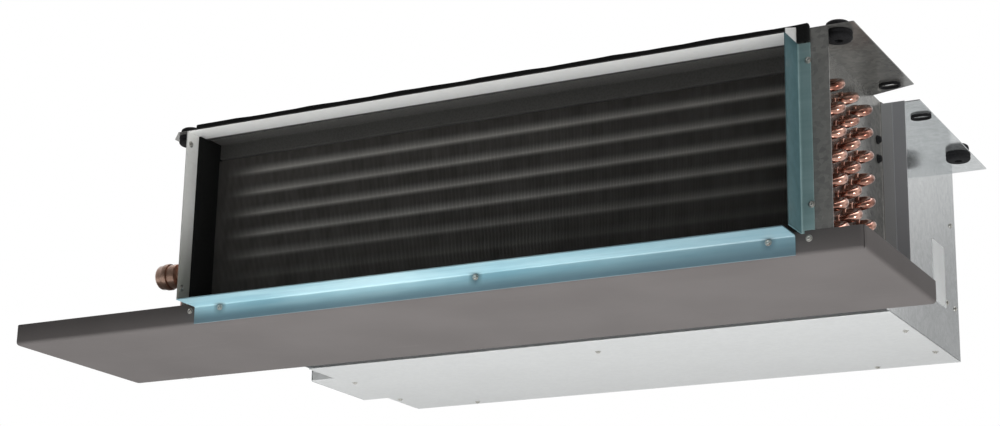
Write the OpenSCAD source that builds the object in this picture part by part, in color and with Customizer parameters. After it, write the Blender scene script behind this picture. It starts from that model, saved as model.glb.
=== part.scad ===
// Concealed ducted fan coil unit, hung from the ceiling by four rubber grommets.
// Millimetres, +X to the right, +Y to the rear (air intake), +Z up.
// Origin: centre of the four hanger holes, on the top face of the ears.

/* [Casing] */
// Width over the coil end plates and the fan side plates
body_w = 744; // [720:1:820]
// Thickness of the casing sheet
sheet_t = 1.2; // [1:0.1:1.5]
// Height of the top face of the ears above the underside
ear_z = 237; // [235:1:260]
// Depth of the coil section
coil_d = 240; // [225:1:280]
// Depth of the fan section
fan_d = 283; // [275:1:320]
// Setback of the fan deck and of the bottom panel from the coil section
deck_set = 11; // [8:1:16]
// Outward width of the front flange of the right coil end plate
front_flange_right = 24; // [20:1:40]
// Outward width of the front flange of the left coil end plate
front_flange_left = 12; // [9:1:20]
// Outward width of the rear flange of the coil end plates
rear_flange = 14; // [8:1:24]
// Outward width of the front flange of the fan side plates
fan_flange = 28; // [16:1:36]

/* [Hangers] */
// Distance of the hanger holes outside the side plates
hang_out = 28; // [24:1:32]
// Distance of the front hanger holes behind the coil front
hang_front = 20; // [18:1:40]
// Distance between the front and the rear hanger holes
hang_dy = 430; // [400:1:460]
// Width of the ears of the coil section
coil_ear_w = 51; // [46:1:60]
// Length of the outer edge of the coil ears
coil_ear_l = 200; // [190:1:215]
// Width of the ears of the fan section
fan_ear_w = 42; // [41:1:60]
// Chamfer of the front corner of the left coil ear
left_ear_cut = 18; // [2:1:20]
// Width of the ear slots
slot_w = 12; // [9:0.5:14]
// End to end length of the ear slots
slot_l = 20; // [16:1:24]
// Middle of the coil ear slots behind the coil front
coil_slot_y = 188; // [150:1:190]
// Middle of the fan ear slots behind the fan section front
fan_slot_y = 62; // [40:1:80]
// Radius of the rubber grommet below the ear
grommet_r = 14.5; // [12:0.5:15]
// Height of the rubber grommet below the ear
grommet_h = 10; // [8:1:20]
// Radius of the grommet cap above the ear
grommet_cap_r = 13; // [11:0.5:13.5]
// Height of the grommet cap above the ear
grommet_cap_h = 9; // [3:0.5:12]
// Radius of the grommet neck in the ear
grommet_neck_r = 8.9; // [7:0.1:10]
// Radius of the hole for the hanger rod
rod_hole_r = 4.5; // [4:0.5:6]

/* [Outlet collar] */
// Inset of the collar from the outside of the casing
collar_in = 8; // [6:1:14]
// Depth of the collar in front of the coil section
collar_d = 37; // [25:1:60]
// Height of the inside floor of the collar above the underside
collar_z0 = 22; // [20:0.5:24]
// Inside height of the collar
collar_h = 199; // [190:1:201]
// Width of the flanges of the side strips
collar_flange = 13; // [12:0.5:14]
// Height of the flange of the top strip above the mouth
top_flange_h = 18; // [15.5:0.5:19]
// Drop of the flange of the bottom strip below the collar floor
bottom_flange_h = 21; // [16:0.5:21.5]
// Inset of the ends of the bottom flange from the collar sides
bottom_flange_in = 7; // [3:1:20]
// Thickness of the foam gasket
gasket_t = 3; // [2:0.5:6]
// Height of the front of the gusset at the right end of the top collar strip
gusset_h = 5; // [3:0.5:12]
// Thickness of the foam lining inside the collar
liner_t = 3; // [2:0.5:6]
// Width of the collar sides in front of the foam lining
collar_bare = 21; // [14:1:24]

/* [Coil] */
// Number of tube rows in depth
rows = 6; // [4:2:6]
// Number of tubes in height
levels = 7; // [5:1:7]
// Vertical distance between tubes
tube_pitch = 25.4; // [24:0.1:26]
// Distance between tube rows
row_pitch = 22; // [20:0.05:22]
// Outer radius of the tubes
tube_r = 4.76; // [4:0.01:5]
// Wall of the tubes
tube_wall = 0.4; // [0.3:0.05:0.6]
// Length of the tubes outside the end plates
tube_stub = 6; // [4:1:9]
// Distance of the fins behind the coil front
fin_y0 = 28; // [22:1:40]
// Height of the fins above the pan lip
fin_lift = 1; // [0.5:0.5:4]
// Distance of the header axes outside the left end plate
header_out = 30; // [28:1:36]
// Radius of the headers
header_r = 11; // [9:0.5:12]
// Wall of the headers
header_wall = 1.5; // [1:0.1:2]
// Depth of the tube ends in the headers
tube_insert = 3; // [2.5:0.5:4]
// Height of the supply connection above the underside
supply_z = 73; // [66:1:100]
// Distance of the return connection below the air vent
return_drop = 26; // [24:1:60]
// Reach of the connections outside the header axes
conn_reach = 43; // [42:1:70]
// Radius of the body of the connections
conn_r = 14.2; // [13.2:0.1:16]
// Radius of the ridge of the connections
conn_ridge_r = 15.6; // [14.6:0.1:18]
// Radius of the socket of the connections
conn_bore_r = 12; // [10:0.1:12.5]
// Depth of the socket of the connections
conn_bore_l = 18; // [12:1:24]
// Radius of the neck of the connections
conn_neck_r = 9; // [8.5:0.1:10]
// Radius of the water way
water_r = 7.5; // [5:0.1:7.6]
// Radius of the vent and purge bodies
vent_r = 6; // [5:0.5:7]
// Reach of the vent and purge bodies outside the header axis
vent_reach = 26; // [22:1:34]
// Radius of the vent and purge screws
vent_screw_r = 2.5; // [2:0.1:3]
// Depth of the vent and purge screws in their bodies
vent_screw_l = 9; // [6:1:10]
// Radius of the heads of the vent and purge screws
vent_head_r = 5; // [4:0.5:7]
// Length of the heads of the vent and purge screws
vent_head_l = 6; // [4:1:10]

/* [Drain pan] */
// Height of the pan lip
pan_h = 25; // [24.5:0.5:27]
// Thickness of the pan sheet
pan_t = 1.5; // [1:0.1:2]
// Length of the pan beyond the left side of the casing
pan_left = 255; // [120:1:320]
// Length of the pan beyond the right side of the casing
pan_right = 56; // [40:1:90]
// Distance of the pan lip in front of the coil section
pan_lap = 0.5; // [0.3:0.1:0.9]
// Radius of the upright corners of the pan
pan_corner = 6; // [4:0.5:12]
// Distance of the drain from the left end of the pan
drain_in = 67; // [30:1:100]
// Height of the drain above the underside
drain_z = 13; // [12.5:0.5:14]
// Radius of the drain spigot
drain_r = 8.5; // [6:0.5:9]
// Radius of the drain bore
drain_bore_r = 7; // [4:0.5:7.5]
// Reach of the drain spigot behind the pan
drain_reach = 20; // [12:1:40]
// Radius of the drain flange
drain_flange_r = 11; // [10:0.5:11.5]

/* [Fans] */
// Distance of the fan axis behind the fan section front
axis_y = 155; // [152:1:158]
// Height of the fan axis above the underside
axis_z = 112; // [106:1:114]
// Distance of the scrolls from the middle of the unit
scroll_x = 185; // [182:1:225]
// Width of the scrolls
scroll_w = 200; // [196:1:202]
// Sheet of the scrolls
scroll_t = 1.2; // [1:0.1:1.5]
// Radius of the scroll at the tongue
scroll_r0 = 82; // [81:0.5:85]
// Radius of the scroll at the top
scroll_r1 = 112; // [105:1:115]
// Radius of the scroll inlets
inlet_r = 62; // [40:1:66]
// Outer radius of the fan wheels
wheel_r = 76; // [70:0.5:77]
// Side clearance of the fan wheels in the scrolls
wheel_gap = 10; // [7:0.5:20]
// Number of blades of a fan wheel
blades = 24; // [12:1:36]
// Depth of the blades
blade_d = 10; // [8:0.5:12]
// Thickness of the blades
blade_t = 1; // [0.8:0.1:1.5]
// Radius of the hubs of the fan wheels
hub_r = 14; // [10:0.5:20]
// Length of the hubs of the fan wheels
hub_l = 30; // [20:1:40]
// Radius of the shaft
shaft_r = 6; // [5:0.1:8]
// Reach of the shaft beyond the middle of the hubs
shaft_over = 20; // [16:1:30]
// Radius of the motor
motor_r = 52; // [45:0.5:58]
// Length of the motor
motor_l = 110; // [90:1:112]
// Radius of the motor bosses
boss_r = 22; // [18:0.5:24]
// Length of the motor bosses
boss_l = 19; // [16:0.5:21]
// Wall of the rubber rings on the bosses
ring_t = 8; // [5:0.5:10]
// Width of the rubber rings
ring_w = 12; // [10:0.5:14]
// Thickness of the cradle uprights
upright_t = 3; // [2:0.5:5]
// Half width of the cradle uprights
upright_hw = 40; // [38:1:44]
// Thickness of the cradle base
cradle_t = 2; // [1.5:0.5:3]
// Thickness of the motor straps
strap_t = 2.5; // [1.5:0.5:4]

/* [Electrical box] */
// Width of the box beside the fan section
ebox_w = 36; // [34:1:44]
// Distance of the electrical box in front of the rear end
ebox_back = 79; // [60:1:100]
// Length of the box
ebox_l = 130; // [110:1:160]
// Height of the box
ebox_h = 190; // [170:1:215]
// Width of the rim of the box
ebox_rim = 12; // [10:1:18]
// Distance of the terminal block behind the front of the box
block_in = 25; // [18:1:30]
// Length of the terminal block
block_l = 70; // [50:1:72]
// Width of the terminal block
block_w = 16; // [12:1:20]
// Height of the terminal block
block_h = 24; // [18:1:30]
// Height of the terminal block above the underside
block_z = 62; // [50:1:70]
// Number of terminals
block_poles = 6; // [4:1:7]
// Radius of the motor capacitor
cap_r = 13.5; // [10:0.5:14]
// Length of the motor capacitor
cap_l = 70; // [40:1:80]
// Radius of the cable gland body
gland_r = 8; // [6:0.5:9]
// Radius of the cable opening in the gland
gland_bore_r = 5; // [3:0.5:5.5]
// Radius of the gland nut
gland_nut_r = 11; // [9.5:0.5:12]

/* [Filter] */
// Depth of the filter rails
rail_d = 18; // [14:0.5:24]
// Height of the filter rails
rail_h = 14; // [10:0.5:14.5]
// Height of the lower rail above the underside
rail_z = 6; // [4:0.5:6.5]
// Inset of the rail ends from the side plates
rail_in = 17; // [14:1:40]
// Width of the border of the filter frame
filter_border = 12; // [8:0.5:16]
// Thickness of the filter medium
medium_t = 8; // [4:0.5:9]

/* [Fastenings] */
// Radius of the screw heads
screw_head_r = 3.6; // [3:0.1:4]
// Height of the screw heads
screw_head_h = 2; // [1.5:0.1:3]
// Radius of the screw shanks
screw_r = 1.75; // [1.5:0.05:2]
// Length of the screw shanks
screw_l = 5; // [4:0.5:6]
// Width of the blank plate on the side
plate_w = 48; // [30:1:70]
// Height of the blank plate on the side
plate_h = 74; // [40:1:100]

/* [Hidden] */
$fn = 48;
fit = 0.05;
seat_gap = 0.3;
t = sheet_t;
hw = body_w / 2;
in_x = hw - t;
under_top = ear_z - t;
fan_y0 = coil_d;
fan_y1 = coil_d + fan_d;
deck_y = fan_y0 + deck_set;
hang_x = hw + hang_out;
hang_rear = hang_front + hang_dy;
hang_mid = (hang_front + hang_rear) / 2;
collar_x = hw - collar_in;
collar_z1 = collar_z0 + collar_h;
pan_x0 = -hw - pan_left;
pan_x1 = hw + pan_right;
pan_y0 = -pan_lap;
pan_y1 = coil_d;
fin_z0 = pan_h + fin_lift;
fin_h = levels * tube_pitch;
fin_z1 = fin_z0 + fin_h;
fin_y1 = fin_y0 + rows * row_pitch;
tube_x = hw + tube_stub;
header_x = hw + header_out;
header_cap = 9;
header_end_x = header_x - header_r + tube_insert;
conn_end = header_x + conn_reach;
vent_end = header_x + vent_reach;
vent_z = tube_z(rows - 1, levels - 1);
purge_z = tube_z(rows - 1, 0);
return_z = vent_z - return_drop;
fan_axis_y = fan_y0 + axis_y;
ring_r = boss_r + ring_t;
ring_x = motor_l / 2 + boss_l / 2;
tongue = 160;
sweep = 290;
steps = 48;
outlet_z0 = axis_z + scroll_r0 * sin(tongue);
outlet_z1 = axis_z + scroll_r1;
shaft_end = scroll_x + shaft_over;
cradle_y0 = deck_y + 40;
cradle_y1 = fan_axis_y + upright_hw + 10;
wheel_w = scroll_w - 2 * wheel_gap;
ebox_y0 = fan_y1 - ebox_back - ebox_l;
ebox_y1 = ebox_y0 + ebox_l;
ebox_x = hw + ebox_w;
ebox_mid = hw + ebox_w / 2;
block_y0 = ebox_y0 + block_in;
block_step = block_l / (block_poles + 1);
block_pole_r = 0.3 * block_step;
gland_z = 30;
rail_x = hw - rail_in;
rail_y1 = fan_y1 + rail_d;
rail_top = ear_z - rail_z;
filter_x = rail_x - 5;
filter_y0 = fan_y1 + t + 0.5;
filter_y1 = rail_y1 - t - 0.5;
filter_z0 = rail_z + t + seat_gap;
filter_z1 = rail_top - t - seat_gap;
side_flange = 20;
plate_y1 = fan_y1 - 53;
plate_z = 91;
bar_w = 24;
liner_z = max(collar_z1, fin_z1 + 1);
baffle_y = fin_y0 - 4;
liner_x = collar_x - t - liner_t;

function tube_y(i) = fin_y0 + row_pitch * (i + 0.5);
function tube_z(i, k) = fin_z0 + tube_pitch * (k + 0.25 + (i % 2 == 1 ? 0.5 : 0));
function spiral_r(a, wall) = scroll_r0 + (scroll_r1 - scroll_r0) * (a - tongue) / sweep - wall;
function spiral(wall) = [for (n = [0:steps]) let (a = tongue + sweep * n / steps)
    [fan_axis_y + spiral_r(a, wall) * cos(a), axis_z + spiral_r(a, wall) * sin(a)]];

// Screw places, shared by the screws and the holes
bottom_pts = [for (s = [-1, 1]) each [[s * (hw - 11), fan_y0 + 102], [s * (hw - 11), fan_y0 + 216],
    [s * (hw - 98), fan_y1 - 13.5]], [0, deck_y + 51]];
side_pts = [[fan_y1 - 20, 164], [fan_y1 - 48, 62], [fan_y1 - 14, 62]];
strip_pts = [for (s = [-1, 0, 1]) [s * (hw - 43), collar_z0 - 5]];
flange_pts = [for (s = [-1, 1]) each [[s * (hw + 2.6), collar_z1 - 19], [s * (hw + 2.6), collar_z0 + 29]]];
lip_pts = [for (s = [-1, 1]) [s * (hw - 1), pan_h - 8]];
corner_pts = [[-collar_d + 7, collar_z1 - 14], [-collar_d + 7, collar_z0 + 14]];
lid_pts = [for (z = [ebox_rim / 2, ebox_h - ebox_rim / 2]) [ebox_y0 + ebox_l / 2, z]];
plug_pts = [for (z = [188, 166]) [coil_d - 14, z]];
plug_r = 5;

module placed() {
    translate([0, -hang_mid, -ear_z]) children();
}

module box(x0, x1, y0, y1, z0, z1) {
    translate([x0, y0, z0]) cube([x1 - x0, y1 - y0, z1 - z0]);
}

// A cylinder along +X from the given point
module bar_x(x0, x1, y, z, r) {
    translate([x0, y, z]) rotate([0, 90, 0]) cylinder(r = r, h = x1 - x0);
}

// A cylinder along +Y from the given point
module bar_y(x, y0, y1, z, r) {
    translate([x, y0, z]) rotate([-90, 0, 0]) cylinder(r = r, h = y1 - y0);
}

module screw() {
    union() {
        cylinder(r = screw_head_r, h = screw_head_h);
        translate([0, 0, -screw_l]) cylinder(r = screw_r, h = screw_l + screw_head_h / 2);
    }
}

module hole() {
    translate([0, 0, -screw_l - 1]) cylinder(r = screw_r + fit, h = screw_l + 2);
}

// Screw places: the children stand on the face with +Z outward
module at_bottom() {
    for (p = bottom_pts) translate([p[0], p[1], 0]) rotate([180, 0, 0]) children();
}

module at_side(s) {
    for (p = side_pts) translate([s * hw, p[0], p[1]]) rotate([0, s * 90, 0]) children();
}

module at_strip() {
    for (p = strip_pts) translate([p[0], pan_y0 - t, p[1]]) rotate([90, 0, 0]) children();
}

module at_flange() {
    for (p = flange_pts) translate([p[0], -t, p[1]]) rotate([90, 0, 0]) children();
}

module at_lip() {
    for (p = lip_pts) translate([p[0], pan_y0, p[1]]) rotate([90, 0, 0]) children();
}

module at_corner() {
    for (p = corner_pts) translate([-collar_x + t, p[0], p[1]]) rotate([0, 90, 0]) children();
}

module at_lid() {
    for (p = lid_pts) translate([-ebox_x - t, p[0], p[1]]) rotate([0, -90, 0]) children();
}

// A slot through the ear, along X
module ear_slot(y) {
    translate([hang_x, y, ear_z - 2 * t]) linear_extrude(3 * t) union() {
        square([slot_l - slot_w, slot_w], center = true);
        for (s = [-1, 1]) translate([s * (slot_l - slot_w) / 2, 0]) circle(r = slot_w / 2);
    }
}

module ear_hole(y) {
    translate([hang_x, y, ear_z - 2 * t]) cylinder(r = grommet_neck_r + fit, h = 3 * t);
}

// Right-hand coil end plate: web, two outward flanges and the ear
module coil_end(front_w, ear_cut) {
    difference() {
        union() {
            box(in_x, hw, 0, coil_d, pan_h, ear_z);
            box(in_x, hw + front_w, 0, t, pan_h, ear_z);
            box(in_x, hw + rear_flange, coil_d - t, coil_d, pan_h, ear_z - 4);
            translate([0, 0, under_top]) linear_extrude(t) polygon([[in_x, 0], [hw + coil_ear_w - ear_cut, 0],
                [hw + coil_ear_w, ear_cut], [hw + coil_ear_w, coil_ear_l], [hw, coil_ear_l + 15],
                [in_x, coil_ear_l + 15]]);
        }
        for (i = [0:rows - 1]) for (k = [0:levels - 1])
            bar_x(in_x - 1, hw + 1, tube_y(i), tube_z(i, k), tube_r + fit);
        ear_slot(coil_slot_y);
        ear_hole(hang_front);
    }
}

module coil_end_right() {
    color("#8f8d88") placed() difference() {
        coil_end(front_flange_right, 1);
        at_flange() hole();
        for (p = plug_pts) bar_x(in_x - 1, hw + 1, p[0], p[1], plug_r - 2 + fit);
    }
}

module coil_end_left() {
    color("#8f8d88") placed() difference() {
        mirror([1, 0, 0]) coil_end(front_flange_left, left_ear_cut);
        at_flange() hole();
    }
}

module coil_top_panel() {
    color("#a9a9a6") placed() union() {
        box(-in_x, in_x, 0, coil_d, under_top, ear_z);
        box(-in_x, in_x, 0, t, collar_z1, under_top + t / 2);
    }
}

module collar_top() {
    color("#e6e7e6") placed() union() {
        box(-collar_x, collar_x, -collar_d, 0, collar_z1, collar_z1 + t);
        box(-collar_x - collar_flange, collar_x + collar_flange, -t, 0, collar_z1 + t / 2, collar_z1 + top_flange_h);
        translate([collar_x - t, 0, 0]) rotate([90, 0, 90]) linear_extrude(t) polygon([
            [-collar_d, collar_z1 + t / 2], [-collar_d, collar_z1 + gusset_h],
            [-t - gasket_t - seat_gap, collar_z1 + top_flange_h - t], [-t - gasket_t - seat_gap, collar_z1 + t / 2]]);
    }
}

module collar_bottom() {
    color("#9fc4cc") placed() difference() {
        union() {
            box(-collar_x, collar_x, -collar_d, pan_y0, collar_z0 - t, collar_z0);
            box(-collar_x + bottom_flange_in, collar_x - bottom_flange_in, pan_y0 - t, pan_y0,
                collar_z0 - bottom_flange_h, collar_z0 - t / 2);
        }
        at_strip() hole();
    }
}

// Side strip on the given side: the leg of the collar and the outward flange
module collar_side(s) {
    mirror([s < 0 ? 1 : 0, 0, 0]) union() {
        box(collar_x - t, collar_x, -collar_d, pan_y0, collar_z0, collar_z1);
        box(collar_x - t, collar_x + collar_flange, -t, 0, pan_h + 0.2, collar_z1);
    }
}

module collar_right() {
    color("#7fa3ae") placed() difference() {
        collar_side(1);
        at_flange() hole();
    }
}

module collar_left() {
    color("#b9b9b5") placed() difference() {
        collar_side(-1);
        at_flange() hole();
        at_corner() hole();
    }
}

module collar_gasket() {
    color("#1c1c1e") placed() box(-collar_x - collar_flange, collar_x + collar_flange, -t - gasket_t, -t,
        collar_z1 + t, collar_z1 + top_flange_h);
}

module foam_liners() {
    color("#202022") placed() {
        for (s = [-1, 1]) mirror([s < 0 ? 1 : 0, 0, 0]) union() {
            box(liner_x, in_x, t, baffle_y - seat_gap, pan_h + 0.5, liner_z - seat_gap);
            box(liner_x, collar_x - t, -collar_d + collar_bare, t + 1, pan_h + 0.5, collar_z1 - seat_gap);
        }
        union() {
            box(-in_x, in_x, t, fin_y1, liner_z, under_top);
            box(-in_x, in_x, baffle_y, fin_y1, fin_z1, liner_z + 1);
        }
    }
}

module fin_pack() {
    color("#4a4b4e") placed() difference() {
        box(-in_x, in_x, fin_y0, fin_y1, fin_z0, fin_z1);
        for (i = [0:rows - 1]) for (k = [0:levels - 1])
            bar_x(-hw, hw, tube_y(i), tube_z(i, k), tube_r + fit);
    }
}

module coil_tubes() {
    color("#b5713f") placed() for (i = [0:rows - 1]) for (k = [0:levels - 1])
        let (x0 = (i == 0 || i == rows - 1) ? -header_end_x : -tube_x) difference() {
            bar_x(x0, tube_x, tube_y(i), tube_z(i, k), tube_r);
            bar_x(x0 - 1, tube_x + 1, tube_y(i), tube_z(i, k), tube_r - tube_wall);
        }
}

// Half ring between the tube ends a and b, given as [y, z], turned to the side s
module bend(a, b, s) {
    translate([s * tube_x, (a[0] + b[0]) / 2, (a[1] + b[1]) / 2]) rotate([atan2(b[1] - a[1], b[0] - a[0]), 0, 0])
        rotate([0, 0, -90 * s]) rotate_extrude(angle = 180) translate([norm(b - a) / 2, 0]) difference() {
            circle(r = tube_r);
            circle(r = tube_r - tube_wall);
        }
}

module bends_right() {
    color("#b5713f") placed() for (i = [0:2:rows - 2]) for (k = [0:levels - 1])
        bend([tube_y(i), tube_z(i, k)], [tube_y(i + 1), tube_z(i + 1, k)], 1);
}

module bends_left() {
    color("#b5713f") placed() for (i = [1:2:rows - 3]) for (k = [0:levels - 1])
        bend([tube_y(i), tube_z(i, k)], [tube_y(i + 1), tube_z(i + 1, k)], -1);
}

// Upright header on the tube row i, with its side hole at the height z
module header(i, z) {
    z0 = tube_z(i, 0) - header_cap;
    z1 = tube_z(i, levels - 1) + header_cap;
    difference() {
        translate([-header_x, tube_y(i), z0]) cylinder(r = header_r, h = z1 - z0);
        translate([-header_x, tube_y(i), z0 + header_wall]) cylinder(r = header_r - header_wall,
            h = z1 - z0 - 2 * header_wall);
        for (k = [0:levels - 1]) bar_x(-header_x, -header_x + header_r + 1, tube_y(i), tube_z(i, k), tube_r + fit);
        bar_x(-header_x - header_r - 1, -header_x, tube_y(i), z, water_r);
    }
}

module supply_header() {
    color("#b5713f") placed() header(0, supply_z);
}

module return_header() {
    color("#b5713f") placed() difference() {
        header(rows - 1, return_z);
        for (z = [vent_z, purge_z]) bar_x(-header_x - header_r - 1, -header_x, tube_y(rows - 1), z, vent_screw_r);
    }
}

// Threaded connection on the header of row i at the height z, pointing left
module connection(i, z) {
    difference() {
        union() {
            bar_x(-header_x - header_r - 8, -header_x, tube_y(i), z, conn_neck_r);
            bar_x(-conn_end, -header_x - header_r - 5, tube_y(i), z, conn_r);
            bar_x(-conn_end + 9, -conn_end + 15, tube_y(i), z, conn_ridge_r);
        }
        translate([-header_x, tube_y(i), z - conn_neck_r - 1]) cylinder(r = header_r + fit, h = 2 * conn_neck_r + 2);
        bar_x(-conn_end - 1, -conn_end + conn_bore_l, tube_y(i), z, conn_bore_r);
        bar_x(-conn_end, -header_x, tube_y(i), z, water_r);
    }
}

module supply_connection() {
    color("#b98a4a") placed() connection(0, supply_z);
}

module return_connection() {
    color("#b98a4a") placed() connection(rows - 1, return_z);
}

// Small valve body on the return header at the height z
module valve_body(z) {
    difference() {
        bar_x(-vent_end, -header_x, tube_y(rows - 1), z, vent_r);
        translate([-header_x, tube_y(rows - 1), z - vent_r - 1]) cylinder(r = header_r + fit, h = 2 * vent_r + 2);
        bar_x(-vent_end - 1, -vent_end + vent_screw_l + 1, tube_y(rows - 1), z, vent_screw_r + fit);
        bar_x(-vent_end, -header_x, tube_y(rows - 1), z, vent_screw_r - 1);
    }
}

module vent_body() {
    color("#c09a55") placed() valve_body(vent_z);
}

module purge_body() {
    color("#c09a55") placed() valve_body(purge_z);
}

// Slotted screw that turns in a valve body
module valve_screw(z) {
    difference() {
        union() {
            bar_x(-vent_end - seat_gap - 1, -vent_end + vent_screw_l, tube_y(rows - 1), z, vent_screw_r);
            bar_x(-vent_end - seat_gap - vent_head_l, -vent_end - seat_gap, tube_y(rows - 1), z, vent_head_r);
        }
        box(-vent_end - seat_gap - vent_head_l - 1, -vent_end - seat_gap - vent_head_l + 2,
            tube_y(rows - 1) - 0.7, tube_y(rows - 1) + 0.7, z - vent_head_r - 1, z + vent_head_r + 1);
    }
}

module vent_screw() {
    color("#d0b070") placed() valve_screw(vent_z);
}

module purge_screw() {
    color("#d0b070") placed() valve_screw(purge_z);
}

// Plan of the pan with round corners
module pan_plan(inset, r) {
    union() {
        translate([pan_x0 + inset + r, pan_y0 + inset])
            square([pan_x1 - pan_x0 - 2 * inset - 2 * r, pan_y1 - pan_y0 - 2 * inset]);
        translate([pan_x0 + inset, pan_y0 + inset + r])
            square([pan_x1 - pan_x0 - 2 * inset, pan_y1 - pan_y0 - 2 * inset - 2 * r]);
        for (x = [pan_x0 + inset + r, pan_x1 - inset - r]) for (y = [pan_y0 + inset + r, pan_y1 - inset - r])
            translate([x, y]) circle(r = r);
    }
}

module drain_pan() {
    color("#77757a") placed() difference() {
        linear_extrude(pan_h) pan_plan(0, pan_corner);
        translate([0, 0, pan_t]) linear_extrude(pan_h) pan_plan(pan_t, pan_corner - pan_t);
        bar_y(pan_x0 + drain_in, pan_y1 - pan_t - 1, pan_y1 + 1, drain_z, drain_r + fit);
        at_strip() hole();
        at_lip() hole();
    }
}

module drain_spigot() {
    color("#d8d8d4") placed() difference() {
        union() {
            bar_y(pan_x0 + drain_in, pan_y1 - pan_t - 4, pan_y1 + drain_reach, drain_z, drain_r);
            bar_y(pan_x0 + drain_in, pan_y1, pan_y1 + 2.5, drain_z, drain_flange_r);
        }
        bar_y(pan_x0 + drain_in, pan_y1 - pan_t - 5, pan_y1 + drain_reach + 1, drain_z, drain_bore_r);
    }
}

// Right-hand fan side plate: web, outward front flange, inward bottom flange and the ear
module fan_side() {
    difference() {
        union() {
            box(in_x, hw, fan_y0, fan_y1, t, ear_z);
            box(in_x, hw + fan_flange, fan_y0, fan_y0 + t, t, ear_z - 3);
            box(in_x - side_flange, hw - t / 2, deck_y + 2 * t, fan_y1 - bar_w - 1, t, 2 * t);
            box(in_x, hw + fan_ear_w, deck_y, fan_y1, under_top, ear_z);
        }
        ear_slot(fan_y0 + fan_slot_y);
        ear_hole(hang_rear);
    }
}

module fan_side_right() {
    color("#bdbdb9") placed() difference() {
        fan_side();
        at_side(1) hole();
        at_bottom() hole();
    }
}

module fan_side_left() {
    color("#bdbdb9") placed() difference() {
        mirror([1, 0, 0]) fan_side();
        at_side(-1) hole();
        at_bottom() hole();
    }
}

module fan_top_panel() {
    color("#b4b4b0") placed() union() {
        box(-in_x, in_x, fan_y0, fan_y1, under_top, ear_z);
        box(-in_x + side_flange, in_x - side_flange, fan_y1 - t, fan_y1, rail_top - rail_h - 1, under_top + t / 2);
    }
}

module fan_bottom_panel() {
    color("#d2d4d3") placed() difference() {
        box(-hw, hw, deck_y, fan_y1, 0, t);
        at_bottom() hole();
    }
}

module rear_bar() {
    color("#b4b4b0") placed() difference() {
        union() {
            box(-in_x, in_x, fan_y1 - bar_w, fan_y1, t, 2 * t);
            box(-in_x + side_flange, in_x - side_flange, fan_y1 - t, fan_y1, 1.5 * t, rail_z + rail_h + 1);
        }
        at_bottom() hole();
    }
}

module fan_deck() {
    color("#9b9b98") placed() difference() {
        union() {
            box(-in_x, in_x, deck_y, deck_y + t, t, under_top);
            box(-in_x, in_x, fan_y0 + t, deck_y + t / 2, pan_h - 7, pan_h - 7 + t);
        }
        for (s = [-1, 1]) box(s * scroll_x - scroll_w / 2 + scroll_t, s * scroll_x + scroll_w / 2 - scroll_t,
            deck_y - 1, deck_y + t + 1, outlet_z0 + scroll_t, outlet_z1 - scroll_t);
    }
}

// Scroll housing about the fan axis, with its mouth on the deck
module scroll(s) {
    difference() {
        translate([s * scroll_x - scroll_w / 2, 0, 0]) rotate([90, 0, 90]) linear_extrude(scroll_w)
            polygon(concat(spiral(0), [[deck_y + t, outlet_z1], [deck_y + t, outlet_z0]]));
        translate([s * scroll_x - scroll_w / 2 + scroll_t, 0, 0]) rotate([90, 0, 90])
            linear_extrude(scroll_w - 2 * scroll_t) polygon(concat(spiral(scroll_t),
                [[deck_y, outlet_z1 - scroll_t], [deck_y, outlet_z0 + scroll_t]]));
        bar_x(s * scroll_x - scroll_w / 2 - 1, s * scroll_x + scroll_w / 2 + 1, fan_axis_y, axis_z, inlet_r);
    }
}

module scroll_left() {
    color("#c4c4c0") placed() scroll(-1);
}

module scroll_right() {
    color("#c4c4c0") placed() scroll(1);
}

// Double-inlet wheel with forward blades
module wheel(s) {
    translate([s * scroll_x, fan_axis_y, axis_z]) rotate([0, 90, 0]) difference() {
        union() {
            translate([0, 0, -1.5]) cylinder(r = wheel_r - blade_d / 2, h = 3);
            translate([0, 0, -hub_l / 2]) cylinder(r = hub_r, h = hub_l);
            for (z = [-wheel_w / 2, wheel_w / 2 - 2]) translate([0, 0, z]) difference() {
                cylinder(r = wheel_r, h = 2);
                translate([0, 0, -1]) cylinder(r = wheel_r - blade_d, h = 4);
            }
            for (n = [0:blades - 1]) rotate([0, 0, 360 * n / blades])
                translate([wheel_r - blade_d + 0.6, -blade_t / 2, -wheel_w / 2 + 1])
                    cube([blade_d - 1.2, blade_t, wheel_w - 2]);
        }
        translate([0, 0, -hub_l / 2 - 1]) cylinder(r = shaft_r + fit / 2, h = hub_l + 2);
    }
}

module wheel_left() {
    color("#3a3b3d") placed() wheel(-1);
}

module wheel_right() {
    color("#3a3b3d") placed() wheel(1);
}

module motor_body() {
    color("#8a8c8e") placed() difference() {
        union() {
            bar_x(-motor_l / 2, motor_l / 2, fan_axis_y, axis_z, motor_r);
            bar_x(-motor_l / 2 - boss_l, motor_l / 2 + boss_l, fan_axis_y, axis_z, boss_r);
        }
        bar_x(-motor_l / 2 - boss_l - 1, motor_l / 2 + boss_l + 1, fan_axis_y, axis_z, shaft_r + fit);
    }
}

module motor_shaft() {
    color("#9fa1a3") placed() bar_x(-shaft_end, shaft_end, fan_axis_y, axis_z, shaft_r);
}

module motor_rings() {
    color("#222224") placed() for (s = [-1, 1]) difference() {
        bar_x(s * ring_x - ring_w / 2, s * ring_x + ring_w / 2, fan_axis_y, axis_z, ring_r);
        bar_x(s * ring_x - ring_w / 2 - 1, s * ring_x + ring_w / 2 + 1, fan_axis_y, axis_z, boss_r + fit);
    }
}

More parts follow.
